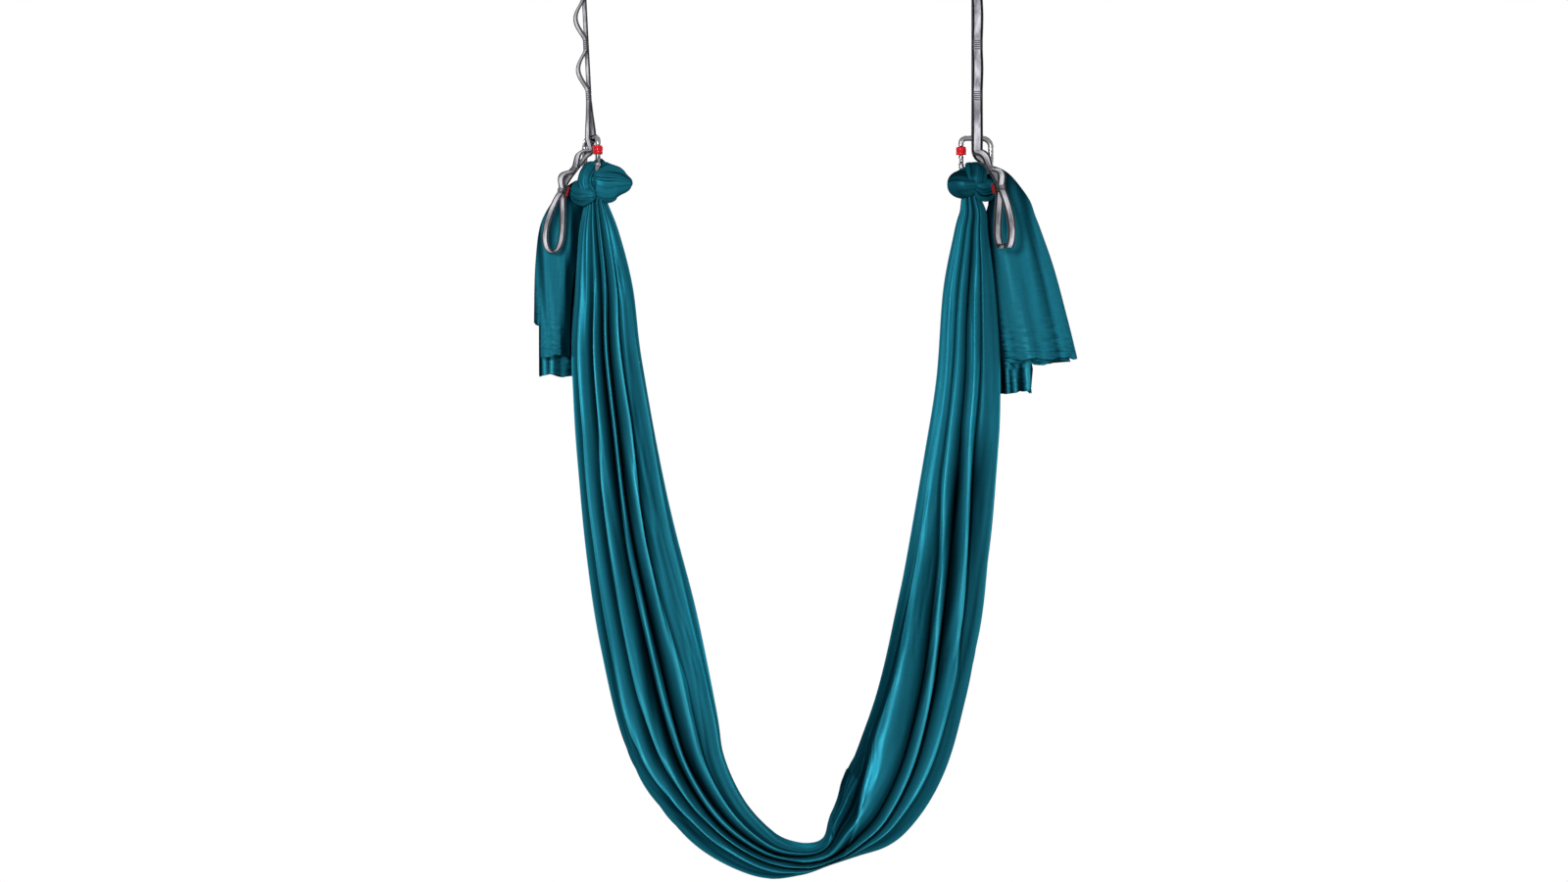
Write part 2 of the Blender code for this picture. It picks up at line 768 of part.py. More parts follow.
def pocket_route(strap):
    """The pocket webbing: flat at each bar tack, bulging between, and round the lower bow."""
    near = layer_step / 2
    route = [(near, end_loop_length + tack_ply_overlap), (near, tack_starts[0] + tack_length)]
    for start in tack_starts[:-1]:
        low = start + tack_length
        high = start + pocket_pitch
        route += bulge(near, low, high, open_pocket_bulge, open_pocket_steps)
        route += [(near, high), (near, high + tack_length)]
    round_bow = wrap(route[-1], (near, strap.tack_s), (0, strap.bow_s), wrap_radius, 1, 5)
    route += even(route[-1], round_bow[0], 4) + round_bow[1:]
    route += [(near, strap.tack_s), (near, strap.loose_s)]
    first, second = (strap.loose_s + start for start in loose_tack_starts)
    route += bulge(near, strap.loose_s, first, tail_pocket_bulge, bulge_route_steps)
    route.append((near, first))
    route += even(route[-1], (near, first + tail_tack_length), loose_tack_steps)
    route += bulge(near, first + tail_tack_length, second, tail_pocket_bulge, lower_bulge_steps)
    route.append((near, second))
    route += even(route[-1], (near, second + tail_tack_length), loose_tack_steps)[:-1]
    return route


def bulge(near, low, high, height, steps):
    """An open pocket between two tacks, without its ends."""
    points = []
    for step in range(1, steps):
        t = step / steps
        points.append((near + height * math.sin(math.pi * t) ** pocket_roundness, low + (high - low) * t))
    return points


def make_strap(prefix, strap, pivot):
    base = ribbon(prefix + "_strap_base", strap, base_route(strap), webbing_thickness, webbing_width)
    pockets = ribbon(prefix + "_strap_pockets", strap, pocket_route(strap), webbing_thickness, webbing_width)
    for obj, finish in ((base, "base"), (pockets, "pockets")):
        settle(obj, finish, pivot)


def settle(obj, finish, pivot):
    """Moves a body built in world places onto its pivot and hands it over as a part."""
    mesh = obj.data
    name = obj.name
    mesh.transform(Matrix.Translation(-pivot.location))
    bpy.data.objects.remove(obj, do_unlink=True)
    return place(name, mesh, finish, pivot.location.copy(), 0.0, pivot)


def make_tag(prefix, strap, pivot):
    """A small folded label, sewn to the strap's nearer edge below the lower bow."""
    spot, along, normal, across = strap.frame(strap.loose_s + loose_tack_starts[1] + tail_tack_length / 2)
    side = across if across.y < 0 else -across
    outline = [(0, tag_neck_height), (tag_shoulder, tag_height), (tag_width, tag_height)]
    outline += [(reach, -height) for reach, height in reversed(outline)]
    edge = spot + side * (webbing_width / 2 + tag_side_gap) - normal * (layer_step + tag_thickness) / 2
    bm = bmesh.new()
    corners = [edge + side * reach - along * height / 2 for reach, height in outline]
    face = bm.faces.new([bm.verts.new(corner) for corner in corners])
    swept = bmesh.ops.extrude_face_region(bm, geom=[face])
    moved = [item for item in swept["geom"] if isinstance(item, bmesh.types.BMVert)]
    bmesh.ops.translate(bm, vec=normal * tag_thickness, verts=moved)
    settle(mesh_object(prefix + "_strap_tag", bm), "tag", pivot)


def resample(rows, count):
    """Rows of numbers, smoothed and spread evenly in count steps."""
    line = catmull_rom([RowVector(row) for row in rows], resample_steps)
    picked = []
    for step in range(count):
        place_now = step / (count - 1) * (len(line) - 1)
        low = min(int(place_now), len(line) - 2)
        t = place_now - low
        picked.append((line[low] * (1 - t) + line[low + 1] * t).values)
    return picked


class RowVector:
    """A row of any length with the sums that a smooth line needs."""

    def __init__(self, values):
        self.values = tuple(values)

    def __add__(self, other):
        return RowVector(a + b for a, b in zip(self.values, other.values))

    def __sub__(self, other):
        return RowVector(a - b for a, b in zip(self.values, other.values))

    def __mul__(self, factor):
        return RowVector(a * factor for a in self.values)

    __rmul__ = __mul__

    def copy(self):
        return RowVector(self.values)


def loft(name, rings):
    """One closed body through rings of points, with a fan over each end."""
    bm = bmesh.new()
    loops = [[bm.verts.new(point) for point in ring] for ring in rings]
    count = len(rings[0])
    for here, there in zip(loops, loops[1:]):
        for step in range(count):
            after = (step + 1) % count
            bm.faces.new((here[step], here[after], there[after], there[step]))
    for loop in (loops[0], loops[-1]):
        middle = bm.verts.new(sum((vert.co for vert in loop), Vector()) / count)
        for step in range(count):
            bm.faces.new((loop[step], loop[(step + 1) % count], middle))
    return mesh_object(name, bm)


def knot_bow(strap):
    """The middle of a lower carabiner's bottom bow, below its strap."""
    return Vector((strap.bow.x, 0, knot_bow_z))


def make_sling(left_strap, right_strap):
    """The U of gathered cloth: a fluted section, broad on the legs and turned flat at the bottom."""
    route = []
    for strap, side_route in ((left_strap, sling_left_route), (right_strap, sling_right_route)):
        bow = knot_bow(strap)
        route += [(bow.x + x, bow.z + z, breadth, depth) for x, z, breadth, depth in side_route]
    rows = resample(route, sling_stations)
    count = sling_folds * points_per_fold
    rings = []
    for index, (x, z, breadth, depth) in enumerate(rows):
        before = rows[max(index - 1, 0)]
        after = rows[min(index + 1, len(rows) - 1)]
        along = Vector((after[0] - before[0], 0, after[1] - before[1])).normalized()
        if index in (0, len(rows) - 1):
            along = Vector((0, 0, -1 if index == 0 else 1))
        inward = Vector((0, 1, 0)).cross(along)
        t = index / (len(rows) - 1)
        gathered = smooth(sling_folds * min(t, 1 - t))
        ring = []
        for step in range(count):
            angle = math.tau * step / count + sling_fold_twist * t
            uneven = 1 + sling_fold_unevenness * math.sin(angle * 3 + math.tau * t)
            swell = 1 - sling_fold_depth * gathered * uneven * valley(step)
            across = inward * math.cos(angle) * breadth / 2
            deep = Vector((0, 1, 0)) * math.sin(angle) * depth / 2
            ring.append(Vector((x, 0, z)) + (across + deep) * swell)
        rings.append(ring)
    return loft("cloth_sling", rings)


def valley(step):
    """How deep a gathered cloth's ring lies at a point: round ridges with sharp valleys between."""
    return 1 - abs(math.sin(math.pi * step / points_per_fold))


def make_tail(name, bow, route, hem_drop, front_share):
    """A loose end of the cloth: deep pleats that open towards a stepped hem, low at the back."""
    rows = resample(route, tail_stations)
    count = tail_folds * points_per_fold
    rings = []
    for index, (left, right, middle, depth, z) in enumerate(rows):
        t = index / (len(rows) - 1)
        hem = smooth((t - tail_hem_start) / (1 - tail_hem_start))
        ring = []
        for step in range(count):
            angle = math.tau * step / count + tail_fold_twist * t
            swell = 1 - tail_fold_depth * smooth(2 * t) * valley(step)
            x = (left + right) / 2 + (right - left) / 2 * math.cos(angle) * swell
            y = middle + depth / 2 * math.sin(angle) * swell
            back = smooth(0.5 + math.sin(angle) - front_share * math.cos(angle))
            ring.append(bow + Vector((x, y, z - hem_drop * back * hem)))
        rings.append(ring)
    return loft(name, rings)


def make_knot(name, centre, half, lobes, wrap_axis):
    """A wrapped knot: a ball drawn out into lobes, with the wrap's turns round it."""
    pole = wrap_axis.normalized()
    rings = []
    for ring_index in range(1, knot_rings):
        polar = math.pi * ring_index / knot_rings
        ring = []
        for step in range(knot_ring_points):
            angle = math.tau * step / knot_ring_points
            level = Vector((math.cos(angle), math.sin(angle), 0))
            way = level * math.sin(polar) + Vector((0, 0, math.cos(polar)))
            reach = 1.0
            for direction, height, sharpness in lobes:
                reach += height * math.exp(-sharpness * (1 - way.dot(Vector(direction).normalized())))
            turn = knot_wraps * math.acos(max(-1.0, min(1.0, way.dot(pole))))
            reach -= knot_wrap_depth * (1 - abs(math.sin(turn)))
            ring.append(centre + Vector((way.x * half.x, way.y * half.y, way.z * half.z)) * reach)
        rings.append(ring)
    return loft(name, rings)


def bow_cutter(name, top_centre, turn):
    """A carabiner's rod and hinge, fatter by the seating gap, to pass through a knot."""
    path = frame_path() + [pin_local + Vector((0, 0, heel_radius))]
    rod = tube(name, path, rod_radius + seat_gap, rod_bevel_resolution)
    rod.data.transform(Matrix.Translation(top_centre) @ Matrix.Rotation(turn, 4, "Z"))
    return rod


def seated_knot(knot, rod, tail, half, floor_height):
    """A knot with the carabiner's bow and the tail let into it, cut off where the sling starts."""
    low = Vector((knot_reach * half.x, knot_reach * half.y, knot_reach * half.z))
    middle = sum((vert.co for vert in knot.data.vertices), Vector()) / len(knot.data.vertices)
    floor = box("floor", middle - low, (middle.x + low.x, middle.y + low.y, floor_height))
    room = grown(tail, seat_gap)
    for cutter in (floor, rod, room):
        join(knot, cutter, "DIFFERENCE")
    seated = finished(knot, knot.name)
    for used in (floor, rod, room):
        bpy.data.objects.remove(used, do_unlink=True)
    return seated


def make_cloth(left_strap, right_strap, pivot):
    left = knot_bow(left_strap)
    right = knot_bow(right_strap)
    sling = make_sling(left_strap, right_strap)
    left_tail = make_tail(
        "cloth_tail_left", left, left_tail_route, left_tail_hem_drop, left_tail_front_share
    )
    right_tail = make_tail(
        "cloth_tail_right", right, right_tail_route, right_tail_hem_drop, right_tail_front_share
    )
    left_knot = make_knot(
        "cloth_knot_left", left + left_knot_centre, left_knot_half, left_knot_lobes, left_wrap_axis
    )
    right_knot = make_knot(
        "cloth_knot_right", right + right_knot_centre, right_knot_half, right_knot_lobes, right_wrap_axis
    )
    left_top = lower_centre(left_strap, left_carabiner_turn)
    right_top = lower_centre(right_strap, right_carabiner_turn)
    left_rod = bow_cutter("left_bow", left_top, left_carabiner_turn)
    right_rod = bow_cutter("right_bow", right_top, right_carabiner_turn)
    left_floor = knot_bow_z + sling_left_route[0][1] + seat_gap
    right_floor = knot_bow_z + sling_right_route[-1][1] + seat_gap
    left_knot = seated_knot(left_knot, left_rod, left_tail, left_knot_half, left_floor)
    right_knot = seated_knot(right_knot, right_rod, right_tail, right_knot_half, right_floor)
    settle(sling, "sling", pivot)
    for knot in (left_knot, right_knot):
        settle(knot, "knot", pivot)
    for tail in (left_tail, right_tail):
        settle(tail, "tail", pivot)


def grown(obj, distance):
    """A copy of a body, larger all round by distance, to cut its neighbour."""
    bm = bmesh.new()
    bm.from_mesh(obj.data)
    bm.normal_update()
    for vert in bm.verts:
        vert.co += vert.normal * distance * grown_reach
    return make_cutter(mesh_object(obj.name + "_room", bm))


left_turns = (left_strap_turn, left_carabiner_turn, left_loose_turn)
left_strap = Strap(left_hang, left_lower_drift, *left_turns, left_loose_route)
right_strap = Strap(right_hang, 0.0, 0.0, 0.0, right_loose_turn, right_loose_route)
anchors = make_pivot("ceiling_anchors", Vector((0, 0, 0)))
swing = make_pivot("swing_axis", swing_axis)
make_carabiner("upper_left_carabiner", left_hang + Vector((0, 0, top_bow_z)), math.pi, anchors)
make_carabiner("upper_right_carabiner", right_hang + Vector((0, 0, top_bow_z)), 0.0, anchors)
left_lower_centre = lower_centre(left_strap, left_carabiner_turn)
right_lower_centre = lower_centre(right_strap, right_carabiner_turn)
make_carabiner("lower_left_carabiner", left_lower_centre, left_carabiner_turn, swing)
make_carabiner("lower_right_carabiner", right_lower_centre, right_carabiner_turn, swing)
for side_name, side_strap in (("left", left_strap), ("right", right_strap)):
    make_strap(side_name, side_strap, swing)
    make_tag(side_name, side_strap, swing)
make_cloth(left_strap, right_strap, swing)
for master in carabiner_pieces.values():
    bpy.data.objects.remove(master, do_unlink=True)
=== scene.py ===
"""The looks of an aerial yoga hammock: teal tricot gathered in deep folds, daisy chain webbing,
steel carabiners with red locking sleeves, and a plain pale studio.
"""
import math
from collections import namedtuple

import bmesh
import bpy
import numpy as np
from mathutils import Matrix, Vector


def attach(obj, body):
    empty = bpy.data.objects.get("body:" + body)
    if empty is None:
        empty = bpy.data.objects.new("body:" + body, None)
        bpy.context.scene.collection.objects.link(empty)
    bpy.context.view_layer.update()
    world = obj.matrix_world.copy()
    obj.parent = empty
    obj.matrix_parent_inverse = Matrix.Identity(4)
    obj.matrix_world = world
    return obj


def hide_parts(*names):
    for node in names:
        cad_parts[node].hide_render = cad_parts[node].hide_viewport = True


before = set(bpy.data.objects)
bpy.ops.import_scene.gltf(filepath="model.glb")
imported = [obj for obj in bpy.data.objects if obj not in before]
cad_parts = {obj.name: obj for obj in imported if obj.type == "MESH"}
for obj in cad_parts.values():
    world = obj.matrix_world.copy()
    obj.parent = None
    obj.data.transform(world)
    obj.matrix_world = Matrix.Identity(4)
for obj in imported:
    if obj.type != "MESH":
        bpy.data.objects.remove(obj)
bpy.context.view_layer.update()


# The studio: floor, backdrop, lamps and camera

camera_place = (0.0091, -5.0, -0.956)
camera_lens = 65.4
ambient_strength = 0.13
floor_height = -2.25
floor_radius = 3.4
floor_grey = (0.82, 0.82, 0.82, 1)
floor_glow = 0.55
glow_reach = (1.0, 3.2)
white = (1, 1, 1, 1)
# Each lamp: its place, the height on the Z axis that it faces, the edge of its square and its power
lamps = {
    "key": ((-0.9, -4.0, -0.1), -0.95, 0.7, 120),
    "fill": ((2.3, -3.0, -0.9), -0.95, 0.9, 16),
    "top": ((0.3, 1.6, 1.3), -0.8, 1.6, 40),
    "back": ((0.9, 4.0, -0.3), -0.95, 1.2, 95),
    "left_side": ((-4.0, 1.2, -0.7), -0.95, 1.0, 42),
    "right_side": ((4.0, 1.2, -0.7), -0.95, 1.0, 42),
}


def linked(name, data):
    """A new object in the scene."""
    made = bpy.data.objects.new(name, data)
    bpy.context.scene.collection.objects.link(made)
    return made


def make_camera():
    """Level with the middle of the hammock, five metres in front of it."""
    camera = linked("camera", bpy.data.cameras.new("camera"))
    camera.data.lens = camera_lens
    camera.location = camera_place
    camera.rotation_euler = (math.pi / 2, 0, 0)
    bpy.context.scene.camera = camera


def make_lamp(name, place, aim_height, size, power):
    """A square soft lamp."""
    lamp = linked(name, bpy.data.lights.new(name, "AREA"))
    lamp.data.size = size
    lamp.data.energy = power
    lamp.location = place
    facing = Vector((0, 0, aim_height)) - Vector(place)
    lamp.rotation_euler = facing.to_track_quat("-Z", "Y").to_euler()


class Socket:
    """One output in a material's node tree. Sums of sockets and numbers add the Math nodes they need."""

    def __init__(self, tree, output=None):
        self.tree = tree
        self.output = output

    def node(self, kind, settings=None, inputs=None, output=0):
        """A new node of a kind: its settings first, then the values or links of its sockets."""
        made = self.tree.nodes.new(kind)
        for name, value in (settings or {}).items():
            setattr(made, name, value)
        for name, value in (inputs or {}).items():
            if isinstance(value, Socket):
                self.tree.links.new(value.output, made.inputs[name])
            else:
                made.inputs[name].default_value = value
        return Socket(self.tree, made.outputs[output])

    def maths(self, operation, first, second=0.0):
        return self.node("ShaderNodeMath", {"operation": operation}, {0: first, 1: second})

    def __add__(self, other):
        return self.maths("ADD", self, other)

    def __sub__(self, other):
        return self.maths("SUBTRACT", self, other)

    def __mul__(self, other):
        return self.maths("MULTIPLY", self, other)

    def __lt__(self, other):
        return self.maths("LESS_THAN", self, other)

    def __abs__(self):
        return self.maths("ABSOLUTE", self)

    __radd__ = __add__
    __rmul__ = __mul__

    def wave(self, length):
        """A sine of this value that comes round once in a length."""
        return self.maths("SINE", self * (math.tau / length))

    def between(self, low, high):
        """0 below low, 1 above high and smooth between them."""
        inputs = {"Value": self, "From Min": low, "From Max": high}
        return self.node("ShaderNodeMapRange", {"interpolation_type": "SMOOTHSTEP"}, inputs)

    def mix(self, first, second):
        """One colour where this value is 0, another where it is 1."""
        return self.node("ShaderNodeMix", {"data_type": "RGBA"}, {0: self, 6: first, 7: second}, 2)

    def noise(self, scale, detail=2.0, roughness=0.5):
        """Noise over this vector: a scale, or one for each of its parts to draw the pattern out."""
        vector = self
        if isinstance(scale, tuple):
            vector = self.node("ShaderNodeVectorMath", {"operation": "MULTIPLY"}, {0: self, 1: scale})
            scale = 1.0
        inputs = {"Vector": vector, "Scale": scale, "Detail": detail, "Roughness": roughness}
        return self.node("ShaderNodeTexNoise", None, inputs)

    def part(self, axis):
        """The X, Y or Z of this vector."""
        return self.node("ShaderNodeSeparateXYZ", None, {"Vector": self}, axis)


def colour(red, green, blue):
    """A linear colour from the 0 to 255 values that a screen shows."""
    parts = []
    for value in (red, green, blue):
        value /= 255
        parts.append(value / 12.92 if value <= 0.04045 else ((value + 0.055) / 1.055) ** 2.4)
    return (*parts, 1.0)


def new_material(name):
    """An empty material and its starting socket."""
    material = bpy.data.materials.new(name)
    material.use_nodes = True
    material.node_tree.nodes.clear()
    return material, Socket(material.node_tree)


def shown(material, shader):
    """The material, with a shader for its surface."""
    end = material.node_tree.nodes.new("ShaderNodeOutputMaterial")
    material.node_tree.links.new(shader.output, end.inputs["Surface"])
    return material


def surface(material, constants, base, rough, height, bump):
    """The material with a Principled shader. Bump is the strength and distance at which height shows."""
    strength, distance = bump
    relief = {"Strength": strength, "Distance": distance, "Height": height}
    normal = base.node("ShaderNodeBump", None, relief)
    inputs = {**constants, "Base Color": base, "Roughness": rough, "Normal": normal}
    return shown(material, base.node("ShaderNodeBsdfPrincipled", None, inputs))


def background_rays(tree):
    """1 for the rays that see the background directly, in polished metal or through something clear."""
    path = tree.nodes.new("ShaderNodeLightPath")
    seen = Socket(tree, path.outputs["Is Camera Ray"])
    for kind in ("Is Glossy Ray", "Is Transmission Ray"):
        seen = seen.maths("MAXIMUM", seen, Socket(tree, path.outputs[kind]))
    return seen


def make_stage():
    """A round pale floor that fades into the white round it, and the white world."""
    world = bpy.data.worlds.new("studio")
    bpy.context.scene.world = world
    world.use_nodes = True
    tree = world.node_tree
    tree.nodes.clear()
    seen = background_rays(tree)
    strength = seen * (1 - ambient_strength) + ambient_strength
    sky = seen.node("ShaderNodeBackground", None, {"Color": white, "Strength": strength})
    tree.links.new(sky.output, tree.nodes.new("ShaderNodeOutputWorld").inputs["Surface"])
    bpy.ops.mesh.primitive_circle_add(vertices=96, radius=floor_radius, fill_type="NGON",
                                      location=(0, 0, floor_height))
    floor = bpy.context.object
    floor.name = "floor"
    material, start = new_material("pale_floor")
    spot = start.node("ShaderNodeTexCoord", None, None, "Object")
    reach = start.node("ShaderNodeVectorMath", {"operation": "LENGTH"}, {0: spot}, "Value")
    matt = start.node("ShaderNodeBsdfDiffuse", None, {"Color": floor_grey})
    glow = start.node("ShaderNodeEmission", None, {"Color": white, "Strength": 1.0})
    share = background_rays(start.tree) * (floor_glow + (1 - floor_glow) * reach.between(*glow_reach))
    both = start.node("ShaderNodeMixShader", None, {0: share, 1: matt, 2: glow})
    floor.data.materials.append(shown(material, both))


# Shapes that several pieces share

def spline(rows, steps):
    """A smooth line through rows of numbers, with steps pieces between each two."""
    rows = np.array(rows, float)
    ends = np.vstack([2 * rows[:1] - rows[1:2], rows, 2 * rows[-1:] - rows[-2:-1]])
    t = (np.arange(steps) / steps)[:, None]
    line = []
    for first, second, third, fourth in zip(ends, ends[1:], ends[2:], ends[3:]):
        bend = (2 * first - 5 * second + 4 * third - fourth) * t**2
        twist = (3 * second - first - 3 * third + fourth) * t**3
        line.append((2 * second + (third - first) * t + bend + twist) / 2)
    return np.vstack(line + [rows[-1:]])


def length_shares(line):
    """How far along a line each of its points lies, from 0 to 1, and its whole length."""
    reach = np.append(0, np.cumsum(np.linalg.norm(np.diff(line, axis=0), axis=1)))
    return reach / reach[-1], reach[-1]


def directions(line):
    """The unit direction of a line at each of its points."""
    run = np.gradient(line, axis=0)
    return run / np.linalg.norm(run, axis=1)[:, None]


def smooth(value):
    """0 below 0, 1 above 1 and smooth between them."""
    value = np.clip(value, 0, 1)
    return value * value * (3 - 2 * value)


def grid_quads(rows, columns, joined=False):
    """The corners of each face in a grid of points. Joined, its last column also meets its first."""
    index = np.arange(rows * columns).reshape(rows, columns)
    if joined:
        index = np.hstack([index, index[:, :1]])
    return np.stack([index[:-1, :-1], index[:-1, 1:], index[1:, 1:], index[1:, :-1]], axis=-1).reshape(-1, 4)


def smooth_piece(name, points, quads, material):
    """A smooth surface of one material, with a face for each four corners."""
    mesh = bpy.data.meshes.new(name)
    mesh.from_pydata(points.reshape(-1, 3).tolist(), [], quads.tolist())
    mesh.shade_smooth()
    mesh.materials.append(material)
    return linked(name, mesh)


def flat_grid(across, along_cloth):
    """Places on the flat cloth, from their two measures."""
    return np.stack(np.broadcast_arrays(across, along_cloth), axis=-1)


def grid_piece(name, points, flat, material, joined=False, shade=None):
    """A surface through a grid of points. Its UV is the place on the flat cloth, in metres, and the number
    that it keeps as painted fold shading is 0, a painted highlight, on a crest and 1, painted shade, down in
    a valley."""
    rows, columns = points.shape[:2]
    quads = grid_quads(rows, columns, joined)
    piece = smooth_piece(name, points, quads, material)
    corners = flat.reshape(-1, 2)[quads.reshape(-1)].astype(np.float32)
    piece.data.uv_layers.new(name="cloth").data.foreach_set("uv", corners.reshape(-1))
    # Painted shading kept on the mesh: 0 is the painted highlight on a crest, 1 the painted shade in a
    # valley
    painted_fold_shading = np.zeros(rows * columns) if shade is None else shade.reshape(-1)
    piece.data.attributes.new("painted_fold_shading", "FLOAT", "POINT").data.foreach_set("value", painted_fold_shading)
    return piece


def tell_frame(piece, body, node=None):
    """The body that a piece rides, and the solid that it stands in for."""
    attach(piece, body)
    if node:
        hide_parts(node)


# The sling

def front(share):
    """The place round a ring, 0 to 1, of a spot on its front, by its share of the breadth from outside."""
    return math.acos(1 - 2 * share) / math.tau


# Centreline x and z, breadth across it in the picture plane, depth along Y
sling_route = [
    (-0.321, -0.522, 0.030, 0.034),
    (-0.321, -0.541, 0.038, 0.042),
    (-0.316, -0.595, 0.069, 0.058),
    (-0.306, -0.698, 0.103, 0.074),
    (-0.300, -0.831, 0.126, 0.086),
    (-0.270, -1.066, 0.153, 0.094),
    (-0.231, -1.270, 0.176, 0.102),
    (-0.193, -1.448, 0.174, 0.116),
    (-0.159, -1.543, 0.146, 0.135),
    (-0.102, -1.624, 0.116, 0.158),
    (-0.029, -1.677, 0.083, 0.180),
    (0.035, -1.688, 0.053, 0.186),
    (0.087, -1.675, 0.045, 0.174),
    (0.126, -1.641, 0.098, 0.150),
    (0.168, -1.596, 0.144, 0.130),
    (0.215, -1.513, 0.159, 0.112),
    (0.252, -1.396, 0.154, 0.102),
    (0.286, -1.227, 0.148, 0.096),
    (0.321, -0.986, 0.133, 0.088),
    (0.334, -0.848, 0.117, 0.080),
    (0.335, -0.695, 0.095, 0.068),
    (0.338, -0.595, 0.063, 0.054),
    (0.341, -0.559, 0.051, 0.046),
    (0.338, -0.536, 0.038, 0.040),
    (0.336, -0.519, 0.030, 0.032),
]
# Each valley: how far along the sling, where round it, and how strongly it shows
sling_valleys = [
    [(0, 0.04, 0.8), (0.144, front(0.03), 0.9), (0.30, front(0.035), 0.9), (0.37, front(0.05), 0.9),
     (0.40, front(0.10), 1.0), (0.44, front(0.17), 0.9), (0.49, front(0.22), 0.8),
     (0.55, front(0.12), 0.7), (0.599, front(0.15), 0.6), (0.635, front(0.10), 0.5),
     (0.67, front(0.07), 0.5), (0.703, front(0.13), 0.6), (0.753, front(0.17), 0.9),
     (0.80, front(0.23), 1.0), (0.84, front(0.29), 0.5), (0.907, front(0.27), 0.35),
     (1.0, front(0.20), 0.6)],
    [(0, front(0.27), 0.8), (0.092, front(0.25), 1.0), (0.16, front(0.22), 0.9),
     (0.202, front(0.165), 1.0), (0.29, front(0.15), 1.0), (0.34, front(0.16), 1.0),
     (0.385, front(0.24), 0.9), (0.44, front(0.34), 0.8), (0.49, front(0.42), 0.7),
     (0.545, front(0.22), 0.9), (0.599, front(0.26), 1.0), (0.635, front(0.29), 1.2),
     (0.67, front(0.33), 1.3), (0.703, front(0.38), 1.3), (0.753, front(0.46), 1.1),
     (0.80, front(0.55), 0.9), (0.84, front(0.62), 0.45), (0.907, front(0.60), 0.4),
     (0.96, front(0.50), 0.7), (1.0, front(0.47), 0.7)],
    [(0, front(0.47), 0.8), (0.092, front(0.43), 1.0), (0.16, front(0.44), 1.0),
     (0.202, front(0.42), 1.0), (0.24, front(0.39), 1.0), (0.29, front(0.385), 1.0),
     (0.34, front(0.42), 0.9), (0.385, front(0.46), 0.9), (0.44, front(0.50), 0.8),
     (0.49, front(0.60), 0.7), (0.545, front(0.34), 0.7), (0.571, front(0.40), 0.6),
     (0.599, front(0.47), 0.6), (0.635, front(0.535), 0.65), (0.67, front(0.57), 0.7),
     (0.703, front(0.65), 0.7), (0.753, front(0.71), 0.6), (0.80, front(0.83), 0.4),
     (0.87, front(0.82), 0.25), (1.0, front(0.74), 0.5)],
    [(0, front(0.68), 0.8), (0.092, front(0.61), 1.0), (0.16, front(0.61), 1.0),
     (0.202, front(0.575), 1.1), (0.24, front(0.555), 1.1), (0.29, front(0.575), 1.1),
     (0.34, front(0.62), 1.2), (0.385, front(0.63), 1.1), (0.44, front(0.68), 0.8),
     (0.49, front(0.77), 0.7), (0.545, front(0.82), 0.35), (0.60, front(0.965), 0.15),
     (0.70, front(0.97), 0.4), (0.80, front(0.97), 0.8), (0.90, front(0.96), 0.8),
     (1.0, front(0.92), 0.6)],
    [(0, front(0.87), 0.8), (0.092, front(0.80), 0.6), (0.16, front(0.84), 0.8),
     (0.202, front(0.79), 0.8), (0.24, front(0.74), 0.7), (0.29, front(0.75), 0.35),
     (0.34, front(0.82), 0.2), (0.385, front(0.84), 0.5), (0.44, front(0.85), 0.7),
     (0.49, front(0.91), 0.6), (0.545, front(0.97), 0.2), (0.60, 0.53, 0.12), (0.68, 0.54, 0.3),
     (1.0, 0.52, 0.6)],
    [(0, 0.50, 0.8), (0.30, 0.49, 0.5), (0.49, 0.50, 0.6), (0.60, 0.575, 0.8), (1.0, 0.57, 0.7)],
    [(0, 0.57, 0.9), (0.30, 0.56, 1.0), (0.49, 0.57, 0.8), (0.60, 0.62, 1.0), (1.0, 0.62, 0.8)],
    [(0, 0.64, 0.9), (0.30, 0.64, 0.8), (0.49, 0.65, 0.7), (0.60, 0.69, 0.9), (1.0, 0.68, 0.9)],
    [(0, 0.71, 0.8), (0.30, 0.72, 1.0), (0.49, 0.73, 0.8), (0.60, 0.76, 1.0), (1.0, 0.75, 0.8)],
    [(0, 0.79, 0.9), (0.30, 0.80, 1.0), (0.49, 0.80, 0.8), (0.60, 0.83, 0.9), (1.0, 0.82, 0.9)],
    [(0, 0.86, 0.8), (0.30, 0.87, 0.7), (0.49, 0.87, 0.7), (0.60, 0.90, 0.9), (1.0, 0.89, 0.8)],
    [(0, 0.93, 0.9), (0.30, 0.94, 0.9), (0.49, 0.94, 0.7), (0.60, 0.96, 0.8), (1.0, 0.95, 0.8)],
]
selvedge_valley = 9
valley_half_width = 0.0050
valley_depth = 0.030
valley_reach = 0.62
knot_end_relief = 0.35
bottom_shift = 0.06
# What each line of a valley's packed pleat keeps of the sling's radius; its lips have none of their own
pleat_radii = (None, 0.5, 0.10, 0.26, 0.42, 0.26, 0.10, 0.26, 0.42, 0.26, 0.10, 0.5, None)
lobe_points = 15
lobe_power = 1.5
# How the painted shade rises from a lobe's crest into its valleys: faster on wide lobes, so that their
# painted highlight stays narrow
shade_power = 1.15
narrow_lobe = 0.055
narrow_floor = 0.42
plain_shade = 0.30
# Painted shade on the right leg just below its knot
by_knot_dusk = 0.14
# The layer that laps over the front at the bottom: where its edge starts and ends, and how far it stands off
flap_edge = (0.485, 0.545)
flap_lift = 0.0055
flap_fade = 0.022
crease_count = 18
crease_size = 0.0014
# Raised creases are painted lighter and sunken ones darker, by this much for each metre of lift
crease_painted_shading = 85.0
